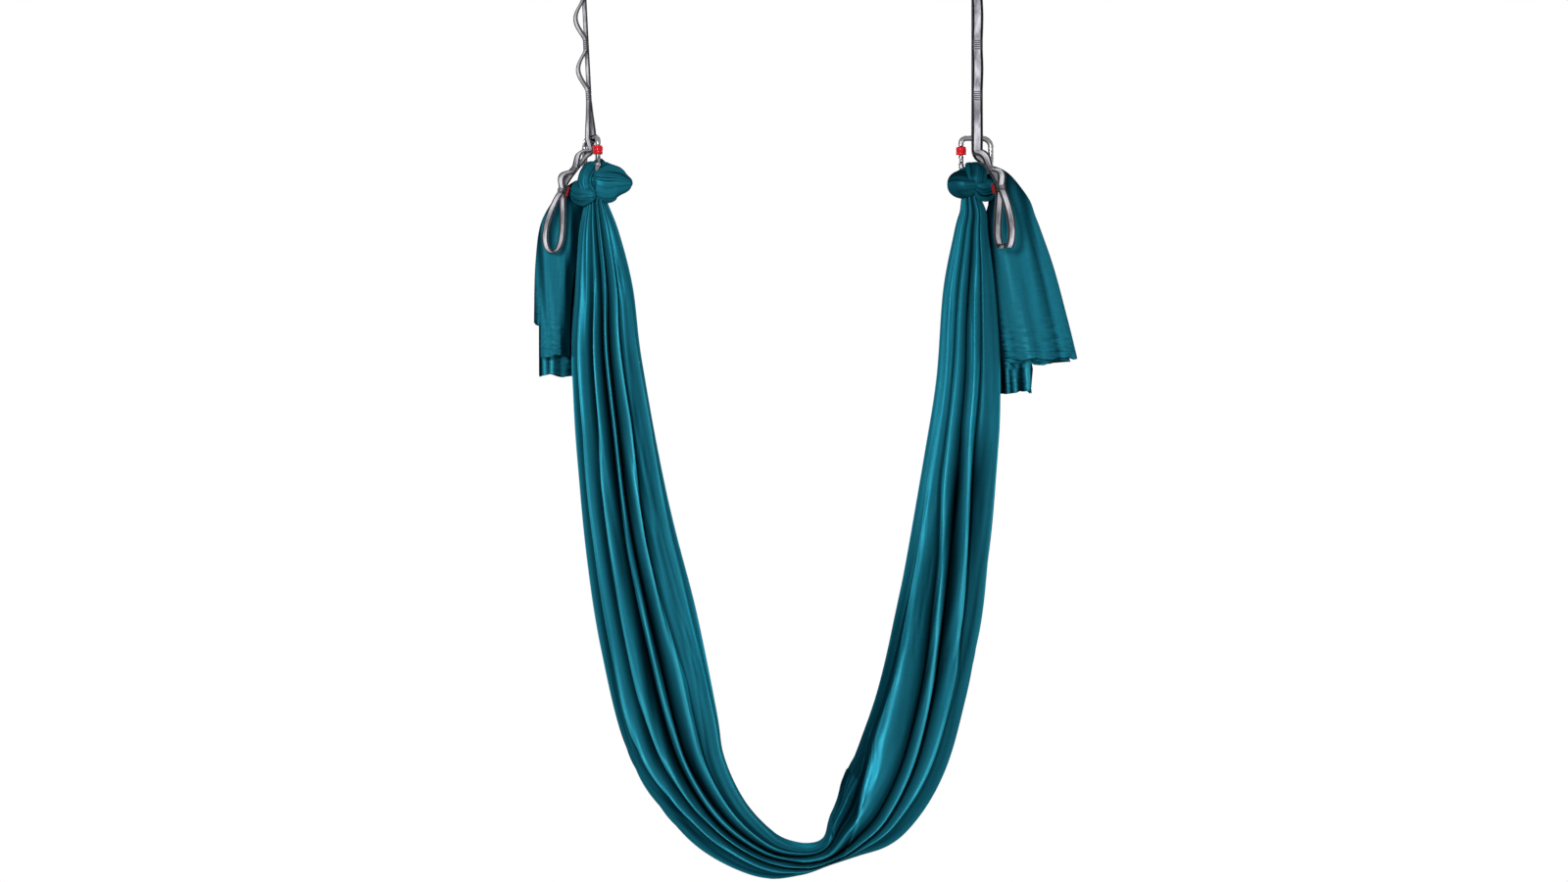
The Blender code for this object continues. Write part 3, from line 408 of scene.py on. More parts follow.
# The ridge on the right leg: how far along the sling, where round it, and its height in millimetres
ridge_track = [
    (0.522, front(0.10), 0), (0.544, front(0.48), 5), (0.565, front(0.68), 7), (0.589, front(0.79), 7),
    (0.626, front(0.86), 6), (0.66, front(0.83), 5), (0.697, front(0.80), 4), (0.731, front(0.80), 1),
    (0.77, front(0.82), 0),
]
ridge_top = 0.007
ridge_spread = 0.022
# Painted shade on the facet inside the ridge, and a painted highlight along it
facet_dusk = 0.42
ridge_gleam = 0.26

# One line of points along the sling: its places round it, how deep its valley is, how far it is from a
# lobe's crest, what a pleat keeps of the radius, its tone, which is how strongly painted shade shows on it,
# and the breadth of its lobe
Column = namedtuple("Column", "spot strength edge pleat tone breadth")


def along(track, places, column):
    """One number of a track at many places along the sling, rounded off at its corners."""
    table = np.array(track, float)
    fine = np.linspace(0, 1, 401)
    kernel = np.hanning(13)
    kernel /= kernel.sum()
    padded = np.pad(np.interp(fine, table[:, 0], table[:, column]), 6, mode="edge")
    return np.interp(places, fine, np.convolve(padded, kernel, mode="valid"))


def front_share(round_places):
    """The share of the breadth, from the outer edge, at places round the sling."""
    return np.clip((1 - np.cos(math.tau * round_places)) / 2, 0, 1)


def sling_places():
    """Shares of the sling's length at which its rings stand, closer together round its bottom."""
    dense = np.linspace(0.455, 0.60, 120)
    return np.concatenate([np.linspace(0, 0.455, 150)[:-1], dense, np.linspace(0.60, 1, 131)[1:]])


def valley_tracks(places):
    """Where round the sling each valley lies, and how strongly it shows."""
    near_bottom = smooth((places - 0.40) / 0.06) * smooth((0.64 - places) / 0.05)
    eased = smooth((places - 0.005) / 0.13) * smooth((0.995 - places) / 0.16)
    spots = []
    strengths = []
    for track in sling_valleys:
        where = along(track, places, 1)
        shift = bottom_shift * (front_share(where) - 0.5) * near_bottom * (where < 0.5)
        spots.append(along(track, np.clip(places - shift, 0, 1), 1))
        strengths.append(along(track, places, 2) * (knot_end_relief + (1 - knot_end_relief) * eased))
    return spots, strengths


def valley_columns(middle, strength, first, last):
    """The lines of one valley, from one lip of its packed pleat to the other."""
    made = []
    for step in range(first, last):
        spot = middle + (step / (len(pleat_radii) - 1) * 2 - 1) * valley_half_width
        tone = np.minimum(strength, 1)
        made.append(Column(spot, strength, 1.0, pleat_radii[step], tone, 0 * middle + narrow_lobe))
    return made


def lobe_columns(start, end, before, after):
    """The lines of the lobe between valleys of strengths before and after, closer together by each."""
    made = []
    for step in range(1, lobe_points + 1):
        share = step / (lobe_points + 1)
        share = 0.5 - 0.5 * math.cos(math.pi * share) * (1 - 0.35 * math.sin(math.pi * share))
        blend = smooth(share)
        tone = np.minimum(before * (1 - blend) + after * blend, 1)
        strength = before if share < 0.5 else after
        spot = start + (end - start) * share
        made.append(Column(spot, strength, abs(2 * share - 1), None, tone, end - start))
    return made


def sling_columns(places):
    """All the lines along the sling, from one selvedge of the cloth round to the other."""
    spots, strengths = valley_tracks(places)
    count = len(sling_valleys)
    half = len(pleat_radii) // 2
    columns = []
    for turn in range(count + 1):
        valley = (selvedge_valley + turn) % count
        middle = spots[valley] + (1.0 if selvedge_valley + turn >= count else 0.0)
        first = half if turn == 0 else 0
        last = half if turn == count else len(pleat_radii)
        columns += valley_columns(middle, strengths[valley], first, last)
        if turn < count:
            after = (valley + 1) % count
            after_middle = spots[after] + (1.0 if selvedge_valley + turn + 1 >= count else 0.0)
            columns += lobe_columns(middle + valley_half_width, after_middle - valley_half_width,
                                    strengths[valley], strengths[after])
    return columns


def sling_creases(round_places, places, edges):
    """Small folds that run along the sling and fade in and out."""
    rng = np.random.default_rng(11)
    lift = np.zeros_like(round_places)
    for _ in range(crease_count):
        turns = rng.integers(9, 56)
        slope = rng.uniform(-1.5, 1.5)
        phase, fade = rng.uniform(0, math.tau, 2)
        size = crease_size * (12 / turns) ** 0.6
        strength = np.clip(np.sin(fade + places * rng.uniform(9, 22)), 0, 1)[:, None]
        lift += size * strength * np.sin(math.tau * (turns * round_places + slope * places[:, None]) + phase)
    calm = 1 - 0.72 * smooth((places - 0.70) / 0.10) - 0.75 * np.exp(-(((places - 0.60) / 0.06) ** 2))
    return lift * (1 - edges**4) * calm[:, None]


def sling_ridge(round_places, places):
    """The sharp ridge that crosses the sling's right leg: how high it stands, and the painted shade on the
    facet inside it and the painted highlight along it.
    """
    middle = along(ridge_track, places, 1)[:, None]
    height = along(ridge_track, places, 2)[:, None] / 1000
    away = (round_places - middle + 0.5) % 1 - 0.5
    # Painted shade on the facet inside the ridge, and a painted highlight just beside its line
    inside = smooth(away / 0.012) * smooth((0.24 - away) / 0.08)
    gleam = np.exp(-((away + 0.004) / 0.007) ** 2)
    tone = height / ridge_top * (facet_dusk * inside - ridge_gleam * gleam)
    return height * np.exp(-np.abs(away) / ridge_spread), tone


def make_sling(cloth):
    """The U of gathered cloth: one sheet laid round in lobes, with pleats packed in each valley."""
    line = spline(sling_route, 24)
    shares, whole = length_shares(line[:, :2])
    places = sling_places()
    centre_x, centre_z, breadth, depth = (np.interp(places, shares, column)[:, None] for column in line.T)
    run = directions(np.hstack([centre_x, centre_z]))
    columns = sling_columns(places)
    round_places = np.array([column.spot for column in columns]).T
    strengths = np.array([column.strength for column in columns]).T
    tones = np.array([column.tone for column in columns]).T
    breadths = np.array([column.breadth for column in columns]).T
    edges = np.array([column.edge for column in columns])
    across = -np.cos(math.tau * round_places) * breadth / 2
    deep = -np.sin(math.tau * round_places) * depth / 2
    radius = np.hypot(across, deep)
    lip = 1 - np.minimum(valley_depth * strengths, valley_reach * radius) / radius
    keep = 1 - (1 - lip) * edges**lobe_power
    for index, column in enumerate(columns):
        if column.pleat is not None:
            keep[:, index] = np.minimum(column.pleat, lip[:, index] * (0.9 if column.pleat > 0.3 else 1.0))
    creases = sling_creases(round_places, places, edges)
    ridge, ridge_tone = sling_ridge(round_places, places)
    keep += (creases + ridge * (edges < 1)) / radius
    # Painted shading: darker down each lobe's sides into its valley with a painted highlight on its crest,
    # the plain tone where valleys are weak, lighter on raised creases and darker on sunken ones, and the
    # ridge's painted shade and highlight
    shade = tones * edges ** (shade_power * np.clip(narrow_lobe / breadths, narrow_floor, 1))
    shade += plain_shade * (1 - tones) - crease_painted_shading * creases + ridge_tone
    # Painted shade on the right leg below its knot
    shade += by_knot_dusk * smooth((places - 0.84) / 0.08)[:, None]
    x = centre_x - run[:, 1:] * across * keep
    z = centre_z + run[:, :1] * across * keep
    rings = np.stack([x, deep * keep, z], axis=-1)
    past = places[:, None] - (flap_edge[0] + (flap_edge[1] - flap_edge[0]) * front_share(round_places))
    in_front = (deep < 0) * smooth(-deep * keep / 0.012)
    rings[..., 1] -= flap_lift * in_front * smooth(past / 0.0030) * np.exp(-np.clip(past, 0, 1) / flap_fade)
    steps = np.diff(rings[len(places) // 4], axis=0)
    widths = np.append(0, np.cumsum(np.linalg.norm(steps, axis=1)))
    flat = flat_grid(widths[None, :], (places * whole)[:, None])
    sling = grid_piece("gathered_sling", rings, flat, cloth, shade=np.clip(shade, 0, 1))
    tell_frame(sling, "hammock", "cloth_sling")
    return sling


# Knots and tails

points_per_pleat = 7
cloth_per_point = 0.0035
least_half_size = 0.0004
deepest_valley = 0.45
valley_sharpness = 1.4
# How dark the painted shade goes down in a pleat's valley
valley_painted_shade = 1.25
bundle_swell = 0.03


def fold_bundle(name, face, pleats, relief, dusk, rows, cloth, seed):
    """Gathered cloth drawn along a path of x, y, z and two half sizes, its pleats running lengthwise."""
    line = spline(rows, 12)
    middle = line[:, :3]
    wide, thick = np.maximum(line[:, 3:5], least_half_size).T[..., None]
    run = directions(middle)
    facing = np.array(face, float) - run * (run @ np.array(face, float))[:, None]
    facing /= np.linalg.norm(facing, axis=1)[:, None]
    side = np.cross(run, facing)
    rng = np.random.default_rng(seed)
    count = pleats * points_per_pleat
    angle = np.linspace(0, math.tau, count, endpoint=False)[None, :]
    reach, whole = length_shares(middle)
    reach = reach[:, None]
    warped = pleats * angle / math.tau
    for turns in (2, 3, 5):
        size = rng.uniform(0.15, 0.4)
        warped = warped + size * np.sin(turns * angle + rng.uniform(0, math.tau) + 2.0 * reach)
    nearest = np.round(warped).astype(int) % pleats
    depth = rng.uniform(0.12, 1.0, pleats)[nearest]
    start = rng.uniform(0, math.tau, pleats)
    speed = rng.uniform(1.5, 4.5, pleats)
    uneven = depth * (0.55 + 0.45 * np.sin(start[nearest] + speed[nearest] * reach))
    valley = (1 - np.abs(np.sin(math.pi * warped))) ** valley_sharpness
    # A painted crest light for each pleat, lighter or darker at random, and painted shade down its valley
    # from the bundle's dusk
    painted_crest_light = rng.uniform(-0.20, 0.10, pleats)
    painted_crest_light = np.interp(warped % pleats, np.arange(pleats + 1), np.append(painted_crest_light, painted_crest_light[0]))
    shade = np.clip(dusk + painted_crest_light + (valley_painted_shade - dusk) * valley * uneven, 0, 1)
    least = np.minimum(wide, thick)
    drop = np.minimum(relief, deepest_valley * least) * valley * uneven / least
    swell = 1 - drop + bundle_swell * np.sin(2 * angle + 5 * reach + rng.uniform(0, math.tau))
    across = (wide * np.cos(angle) * swell)[..., None]
    deep = (thick * np.sin(angle) * swell)[..., None]
    points = middle[:, None, :] + side[:, None, :] * across + facing[:, None, :] * deep
    flat = flat_grid(np.arange(count)[None, :] * cloth_per_point, reach * whole)
    return grid_piece(name, points, flat, cloth, joined=True, shade=shade)


# Each bundle: the way its front looks, its pleats, how deep they are, its dusk, which is the painted shade
# over it, and its path with half sizes
left_knot_bundles = {
    "left_knot_core": ((0, -1, 0), 18, 0.0016, 0.6, [
        (-0.325, 0.004, -0.470, 0.006, 0.006), (-0.324, 0.003, -0.480, 0.020, 0.017),
        (-0.320, 0.000, -0.503, 0.031, 0.022), (-0.320, 0.000, -0.522, 0.024, 0.018),
        (-0.321, 0.000, -0.533, 0.012, 0.012),
    ]),
    "left_knot_loop": ((-0.3, -1, 0.3), 18, 0.0030, 0.47, [
        (-0.323, -0.018, -0.533, 0.008, 0.005), (-0.332, -0.021, -0.522, 0.0125, 0.007),
        (-0.338, -0.021, -0.507, 0.0145, 0.008), (-0.335, -0.020, -0.490, 0.0150, 0.008),
        (-0.326, -0.0105, -0.4770, 0.0160, 0.0078), (-0.319, 0.004, -0.4738, 0.0165, 0.0078),
        (-0.320, 0.018, -0.482, 0.016, 0.008), (-0.322, 0.021, -0.505, 0.015, 0.008),
    ]),
    "left_knot_right_lobe": ((0, -1, 0), 34, 0.0020, 0.45, [
        (-0.331, -0.016, -0.501, 0.008, 0.007), (-0.325, -0.013, -0.500, 0.0265, 0.016),
        (-0.314, -0.008, -0.502, 0.0352, 0.021), (-0.300, -0.003, -0.5030, 0.0360, 0.023),
        (-0.284, 0.000, -0.5020, 0.0280, 0.022), (-0.270, 0.002, -0.5036, 0.0175, 0.017),
        (-0.2605, 0.003, -0.5040, 0.0095, 0.010), (-0.2568, 0.003, -0.5045, 0.002, 0.002),
    ]),
    "left_knot_left_wrap": ((0, -1, 0), 24, 0.0032, 0.42, [
        (-0.319, -0.024, -0.5245, 0.005, 0.005), (-0.326, -0.023, -0.5245, 0.015, 0.010),
        (-0.336, -0.015, -0.5215, 0.0240, 0.015), (-0.346, -0.004, -0.5180, 0.0240, 0.018),
        (-0.354, 0.004, -0.5140, 0.0190, 0.016), (-0.3595, 0.008, -0.5120, 0.010, 0.009),
        (-0.362, 0.009, -0.511, 0.002, 0.002),
    ]),
}
right_knot_bundles = {
    "right_knot_core": ((0, -1, 0), 16, 0.0016, 0.6, [
        (0.336, 0.004, -0.474, 0.008, 0.008), (0.336, 0.002, -0.484, 0.022, 0.017),
        (0.333, 0.000, -0.505, 0.028, 0.021), (0.334, 0.000, -0.522, 0.020, 0.017),
        (0.336, 0.000, -0.532, 0.011, 0.011),
    ]),
    "right_knot_loop": ((0, -1, 0.3), 12, 0.0010, 0.64, [
        (0.344, -0.017, -0.515, 0.017, 0.006), (0.345, -0.020, -0.498, 0.019, 0.0075),
        (0.346, -0.015, -0.482, 0.0195, 0.0078), (0.346, -0.003, -0.4742, 0.0195, 0.0078),
        (0.346, 0.012, -0.478, 0.0195, 0.0078), (0.345, 0.020, -0.496, 0.018, 0.008),
        (0.343, 0.018, -0.515, 0.016, 0.008),
    ]),
    "right_knot_left_lobe": ((0, -1, 0), 13, 0.0006, 0.80, [
        (0.349, -0.012, -0.507, 0.010, 0.010), (0.342, -0.013, -0.506, 0.022, 0.014),
        (0.331, -0.009, -0.506, 0.0265, 0.019), (0.319, -0.004, -0.506, 0.0255, 0.021),
        (0.308, 0.000, -0.506, 0.021, 0.019), (0.300, 0.003, -0.506, 0.013, 0.013),
        (0.2975, 0.004, -0.506, 0.003, 0.003),
    ]),
    "right_knot_right_fan": ((0, -1, 0), 20, 0.0028, 0.58, [
        (0.343, -0.021, -0.511, 0.004, 0.004), (0.348, -0.020, -0.513, 0.014, 0.009),
        (0.355, -0.015, -0.515, 0.0205, 0.013), (0.364, -0.007, -0.514, 0.0215, 0.015),
        (0.371, 0.000, -0.511, 0.016, 0.014), (0.3755, 0.004, -0.508, 0.008, 0.009),
        (0.377, 0.005, -0.508, 0.002, 0.002),
    ]),
}


def make_knot(node, bundles, cloth):
    """The bundles of one knot, which all stand in for its solid."""
    pieces = []
    for seed, (name, bundle) in enumerate(bundles.items(), 31):
        piece = fold_bundle(name, *bundle, cloth, seed)
        tell_frame(piece, "hammock", node)
        pieces.append(piece)
    return pieces


# Edges of each tail in x, its middle and depth along Y, at heights z
left_tail_route = [
    (-0.358, -0.334, 0.018, 0.016, -0.498),
    (-0.373, -0.334, 0.022, 0.022, -0.508),
    (-0.396, -0.336, 0.028, 0.032, -0.530),
    (-0.420, -0.345, 0.030, 0.042, -0.575),
    (-0.428, -0.353, 0.028, 0.046, -0.640),
    (-0.430, -0.362, 0.025, 0.050, -0.735),
    (-0.430, -0.362, 0.025, 0.050, -0.860),
]
right_tail_route = [
    (0.350, 0.372, 0.015, 0.014, -0.471),
    (0.354, 0.393, 0.018, 0.020, -0.478),
    (0.361, 0.413, 0.022, 0.027, -0.494),
    (0.372, 0.440, 0.030, 0.036, -0.530),
    (0.366, 0.451, 0.034, 0.040, -0.559),
    (0.363, 0.461, 0.036, 0.044, -0.585),
    (0.368, 0.483, 0.036, 0.048, -0.650),
    (0.376, 0.505, 0.034, 0.056, -0.735),
    (0.384, 0.524, 0.030, 0.062, -0.815),
    (0.386, 0.534, 0.030, 0.062, -0.880),
]
# Layers from front to back: how many, how far each edge is drawn in at the hem, and the hem's height
left_tail_layers = [(7, 0.013, 0.004, -0.8065), (1, 0.000, 0.008, -0.747), (11, 0.000, 0.002, -0.748),
                    (1, 0.010, -0.004, -0.790), (15, 0.007, -0.010, -0.8385)]
right_tail_layers = [(5, -0.001, 0.000, -0.811), (1, -0.002, 0.006, -0.812), (5, -0.006, 0.012, -0.815),
                     (1, -0.006, 0.042, -0.820), (1, -0.006, 0.078, -0.829), (14, -0.008, 0.086, -0.868)]
# Waves across each tail: their breadth, height, phase and lean
left_tail_waves = [(0.062, 0.0045, 1.2, 0.05), (0.021, 0.0012, 0.4, -0.1)]
right_tail_waves = [(0.10, 0.0050, 2.6, -0.25), (0.034, 0.0016, 1.0, -0.2)]
sheet_width = 2.8
layer_points = 17
tail_rows = 90
even_layers = 4
hem_jitter = 0.0025
edge_jitter = 0.0012
# Painted shade on the tails: their dusk, more on deeper layers, a painted shadow under the knot and one by
# the sling's leg, and painted shading across the waves and the back pleats
tail_dusk = 0.44
dusk_inwards = 0.10
dusk_by_knot = 0.6
dusk_by_leg = 0.75
leg_gap = 0.024
wave_painted_shading = 0.15
back_pleat = 0.0175
back_pleat_size = 0.0034
back_pleat_painted_shading = 0.50
hem_reach = 0.030


def tail_lines(route, layers, leg_side, seed):
    """The lines down a tail, layer by layer from its front: their points, the heights of their hems, and how
    far they lie from the sling's leg beside the tail, where a painted shadow falls."""
    plan = []
    for count, *layer in layers:
        plan += [layer] * count
    jitter = np.random.default_rng(seed).uniform(-1, 1, (len(plan), 3))
    t = np.linspace(0, 1, tail_rows) ** 1.4
    opened = smooth(t * 1.4)
    lines = []
    hems = []
    gaps = []
    for layer, (left_in, right_in, hem) in enumerate(plan):
        hem += hem_jitter * jitter[layer, 0] if layer >= even_layers else 0.0
        z = route[0, 4] + (hem - route[0, 4]) * t
        left, right, middle, depth = (np.interp(-z, -route[:, 4], route[:, column]) for column in range(4))
        left = left + (left_in + edge_jitter * jitter[layer, 1]) * opened
        right = right - (right_in + edge_jitter * jitter[layer, 2]) * opened
        for step in range(layer_points):
            place = step / (layer_points - 1)
            forth = 0.5 - 0.5 * math.cos(math.pi * place)
            if layer % 2:
                forth = 1 - forth
            turn = 0.5 * (2 * place - 1) * abs(2 * place - 1) ** 3
            x = left + (right - left) * forth
            y = middle + depth * ((layer + 0.5 + turn) / len(plan) - 0.5)
            lines.append(np.column_stack([x, y, z]))
            hems.append(hem)
            gaps.append(right - x if leg_side > 0 else x - left)
    return np.stack(lines, axis=1), np.array(hems)[None, :], np.stack(gaps, axis=1)


def make_tail(name, node, route, layers, waves, leg_side, seed, cloth):
    """A loose end of the cloth, folded to and fro in layers, with a stepped hem, and painted shade and
    shadows in its colour.
    """
    route = spline(route, 8)
    points, hems, gaps = tail_lines(route, layers, leg_side, seed)
    x, y, z = points[..., 0], points[..., 1], points[..., 2]
    lines = points.shape[1]
    total = lines // layer_points
    deep_in = np.repeat(np.arange(total) / total, layer_points)[None, :]
    down = route[0, 4] - z
    near_hem = np.exp(-(z - hems) / hem_reach)
    # Painted shade: the tail's dusk, darker on deeper layers, a painted shadow under the knot and another
    # along the sling's leg
    shade = tail_dusk + dusk_inwards * deep_in + dusk_by_knot * np.exp(-down / 0.035)
    shade = shade + dusk_by_leg * smooth(1 - gaps / leg_gap)
    for width, size, phase, lean in waves:
        angle = math.tau * (x + lean * down) / width + phase
        y += size * smooth(down / 0.12) * np.sin(angle)
        # Painted shading across each wave: darker on the slopes that face the key lamp, lighter on the
        # others
        shade -= wave_painted_shading * np.cos(angle)
    pleated = smooth((deep_in - 0.38) / 0.05) * smooth(down / 0.2)
    ripple = np.sin(math.tau * x / back_pleat + 0.8 * np.sin(math.tau * x / 0.041) + seed)
    y += back_pleat_size * pleated * ripple
    # Painted shading across the back pleats, in step with their ripple
    shade += back_pleat_painted_shading * pleated * ripple
    z += near_hem * (0.0024 * np.sin(x * 118 + y * 60 + seed) + 0.0009 * np.sin(x * 410 + y * 90))
    y += 0.0022 * near_hem * np.sin(x * 210 + 40 * y)
    flat = flat_grid(np.arange(lines)[None, :] * sheet_width / lines, hems - z)
    tail = grid_piece(name, points, flat, cloth, shade=np.clip(shade, 0, 1))
    tell_frame(tail, "hammock", node)
    return tail


# Straps

rod_radius = 0.0048
webbing_width = 0.020
webbing_thickness = 0.0018
layer_step = 0.0021
wrap_radius = rod_radius + 0.0003 + webbing_thickness / 2
near_layer = -layer_step / 2
pocket_pitch = 0.0894
tack_length = 0.018
end_loop_length = 0.105
tack_starts = [end_loop_length + count * pocket_pitch for count in range(3)]
open_pocket_bulge = 0.016
tail_pocket_bulge = 0.011
tail_tack_length = 0.009
loose_tacks = (0.045, 0.088)
plumb_length = 0.018
bow_to_tack = 0.0098
bow_tack_length = 0.010
end_loop_turn_length = 0.070
loose_turn_length = 0.045
open_pocket_end = 0.020
above_bow = 0.012
loop_breadth = 0.0225
upper_lower_bow = -0.0572
lower_bow = -0.4247
# Bar tacks: the room for each bar, its half sizes, how it stands off and sinks in, its threads and points
bar_spacing = 0.0035
bar_half_width = 0.0078
bar_half_length = 0.0011
bar_height = 0.00045
bar_sunk = 0.0001
thread_height = 0.00008
thread_shift = 0.0003
bar_rows = 7
bar_columns = 61
# The folded tag: how far out and how high its upper side lies, then its cloth, half widths, length and curl
tag_fold = [(0.0002, 0.00022), (0.003, 0.0003), (0.006, 0.00045), (0.009, 0.0006), (0.0108, 0.0006),
            (0.0117, 0.0004), (0.0120, 0.0)]
tag_cloth_thickness = 0.00028
tag_half_width = 0.009
tag_sewn_half_width = 0.0035
tag_length = 0.012
tag_curl = 0.0006
tag_gap = 0.0004
tag_sewn_reach = 0.0002
# Across the webbing and through it: its two faces, and the round selvedges between them
webbing_section = [(-0.93, -1), (-0.62, -1), (-0.31, -1), (0, -1), (0.31, -1), (0.62, -1), (0.93, -1),
                   (0.985, -0.6), (1, 0), (0.985, 0.6),
                   (0.93, 1), (0.62, 1), (0.31, 1), (0, 1), (-0.31, 1), (-0.62, 1), (-0.93, 1),
                   (-0.985, 0.6), (-1, 0), (-0.985, -0.6)]
right_loose_route = [(0.0030, -0.006, -0.0310), (0.0110, -0.017, -0.0425), (0.0210, -0.028, -0.0550),
                     (0.0310, -0.035, -0.0690), (0.0380, -0.040, -0.0850), (0.0420, -0.040, -0.1050),
                     (0.0460, -0.040, -0.1450), (0.0475, -0.040, -0.1950)]
left_loose_route = [(-0.0075, -0.002, -0.0300), (-0.0165, -0.007, -0.0415), (-0.0270, -0.012, -0.0540),
                    (-0.0380, -0.015, -0.0690), (-0.0470, -0.017, -0.0850), (-0.0540, -0.018, -0.1050),
                    (-0.0630, -0.018, -0.1500), (-0.0690, -0.018, -0.2050)]


class Strap:
    """The line that a strap follows, by the distance s below its upper hanging rod."""

    def __init__(self, hang_x, bow_x, turns, loose_route):
        self.top = Vector((hang_x, 0, upper_lower_bow))
        self.bow = Vector((bow_x, 0, lower_bow))
        self.main_turn, self.lower_turn, self.loose_turn = (math.radians(turn) for turn in turns)
        self.knee = self.top - Vector((0, 0, plumb_length))
        self.down = (self.bow - self.knee).normalized()
        self.bow_s = plumb_length + (self.bow - self.knee).length
        self.tack_s = self.bow_s + bow_to_tack
        self.loose_s = self.tack_s + bow_tack_length
        start = self.taut(self.loose_s)
        route = [self.bow + Vector(point) for point in loose_route]
        lead = route[0] - self.down * 2 * (route[0] - start).length
        line = spline([lead, start, *route], 6)[6:]
        self.line = [Vector(point) for point in line]
        self.runs = [self.down]
        for before, after in zip(self.line, self.line[2:]):
            self.runs.append((after - before).normalized())
        self.runs.append((self.line[-1] - self.line[-2]).normalized())

    def taut(self, s):
        """The place at s on the pulled part, down to where the loose end starts."""
        if s <= plumb_length:
            return self.top - Vector((0, 0, s))
        return self.knee + self.down * (s - plumb_length)

    def turn(self, s):
        """How far the webbing's face is turned about the vertical at s."""
        if s < end_loop_length:
            past = s - (end_loop_length - end_loop_turn_length) / 2
            return self.main_turn * float(smooth(past / end_loop_turn_length))
        last_open = tack_starts[-1] + tack_length + open_pocket_end
        if s < self.loose_s:
            blend = float(smooth((s - last_open) / (self.bow_s - above_bow - last_open)))
            return self.main_turn + (self.lower_turn - self.main_turn) * blend
        blend = float(smooth((s - self.loose_s) / loose_turn_length))
        return self.lower_turn + (self.loose_turn - self.lower_turn) * blend

    def frame(self, s):
        """Place, direction along the strap, face normal and width direction at s."""
        if s <= plumb_length:
            spot, run = self.taut(s), Vector((0, 0, -1))
        elif s <= self.loose_s:
            spot, run = self.taut(s), self.down
        else:
            left = s - self.loose_s
            for index, (here, there) in enumerate(zip(self.line, self.line[1:])):
                step = (there - here).length
                if left <= step:
                    break
                left -= step
            spot = here + (there - here) * (left / step)
            share = min(1.0, left / step)
            run = (self.runs[index] * (1 - share) + self.runs[index + 1] * share).normalized()
        turn = self.turn(s)
        normal = Vector((math.sin(turn), -math.cos(turn), 0))
        normal = (normal - run * normal.dot(run)).normalized()
        return spot, run, normal, normal.cross(run)


def wrap(before, after, centre, side, steps=18):
    """Points round a rod, from the tangent through one point to the tangent through another."""
    angles = []
    for point, way in ((before, side), (after, -side)):
        reach_n, reach_s = point[0] - centre[0], point[1] - centre[1]
        lean = math.acos(min(1, wrap_radius / math.hypot(reach_n, reach_s)))
        angles.append(math.atan2(reach_s, reach_n) + way * lean)
    start, end = angles
    while (end - start) * side < 0:
        end += side * math.tau
    points = []
    for step in range(steps + 1):
        angle = start + (end - start) * step / steps
        points.append((centre[0] + wrap_radius * math.cos(angle), centre[1] + wrap_radius * math.sin(angle)))
    return points


def even(start, end, spacing=0.003):
    """Points from start to end at about a spacing, without the first."""
    steps = max(1, round(math.dist(start, end) / spacing))
    return [tuple(a + (b - a) * step / steps for a, b in zip(start, end)) for step in range(1, steps + 1)]


def bulge(low, high, height, steps=26):
    """An open pocket between two tacks, without its ends."""
    shares = [step / steps for step in range(1, steps)]
    return [(height * math.sin(math.pi * t) ** 1.3 - near_layer, low + (high - low) * t) for t in shares]


def end_loop(start, near, far, steps=60):
    """A hanging teardrop from the last tack, out on the face side and back behind it."""
    loop = []
    for step in range(1, steps):
        angle = math.tau * step / steps
        drop = 0.5 * (1 - math.cos(angle))
        fullness = 0.26 + 0.76 * drop**0.9
        rest = near + (far - near) * float(smooth(step / steps))
        loop.append((rest + loop_breadth * math.sin(angle) * fullness, start + end_loop_length * drop))
    return loop


def base_route(strap):
    """The base webbing: sewn end, top loop over the rod, the long run, the bow and the end loop."""
    near = near_layer
    far = near - layer_step
    route = [(far, end_loop_length + tack_length - 0.001), (far, end_loop_length)]
    over = wrap(route[-1], (near, end_loop_length), (0, 0), 1)
    route += even(route[-1], over[0]) + over[1:]
    route += even(route[-1], (near, end_loop_length))
    route += even(route[-1], (near, tack_starts[-1] + tack_length))
    round_bow = wrap(route[-1], (near, strap.tack_s), (0, strap.bow_s), -1, 10)
    route += even(route[-1], round_bow[0]) + round_bow[1:]
    first, second = (strap.loose_s + start for start in loose_tacks)
    for s in (strap.tack_s, strap.loose_s, first, second, second + tail_tack_length):
        route += even(route[-1], (near, s))
    route += end_loop(second + tail_tack_length, near, far)
    route.append((far, second + tail_tack_length))
    return route + even(route[-1], (far, second))


def pocket_route(strap):
    """The pocket webbing: flat at each bar tack, bulging between, and round the lower bow."""
    near = -near_layer
    route = [(near, end_loop_length + 0.001), (near, end_loop_length + tack_length)]
    for start in tack_starts[:-1]:
        high = start + pocket_pitch
        route += bulge(start + tack_length, high, open_pocket_bulge)
        route += [(near, high)] + even((near, high), (near, high + tack_length))
    round_bow = wrap(route[-1], (near, strap.tack_s), (0, strap.bow_s), 1, 10)
    route += even(route[-1], round_bow[0]) + round_bow[1:]
    route += even(route[-1], (near, strap.loose_s))
    first, second = (strap.loose_s + start for start in loose_tacks)
    route += bulge(strap.loose_s, first, tail_pocket_bulge)
    route += [(near, first)] + even((near, first), (near, first + tail_tack_length))
    route += bulge(first + tail_tack_length, second, tail_pocket_bulge)
    route += [(near, second)] + even((near, second), (near, second + tail_tack_length))[:-1]
    return route


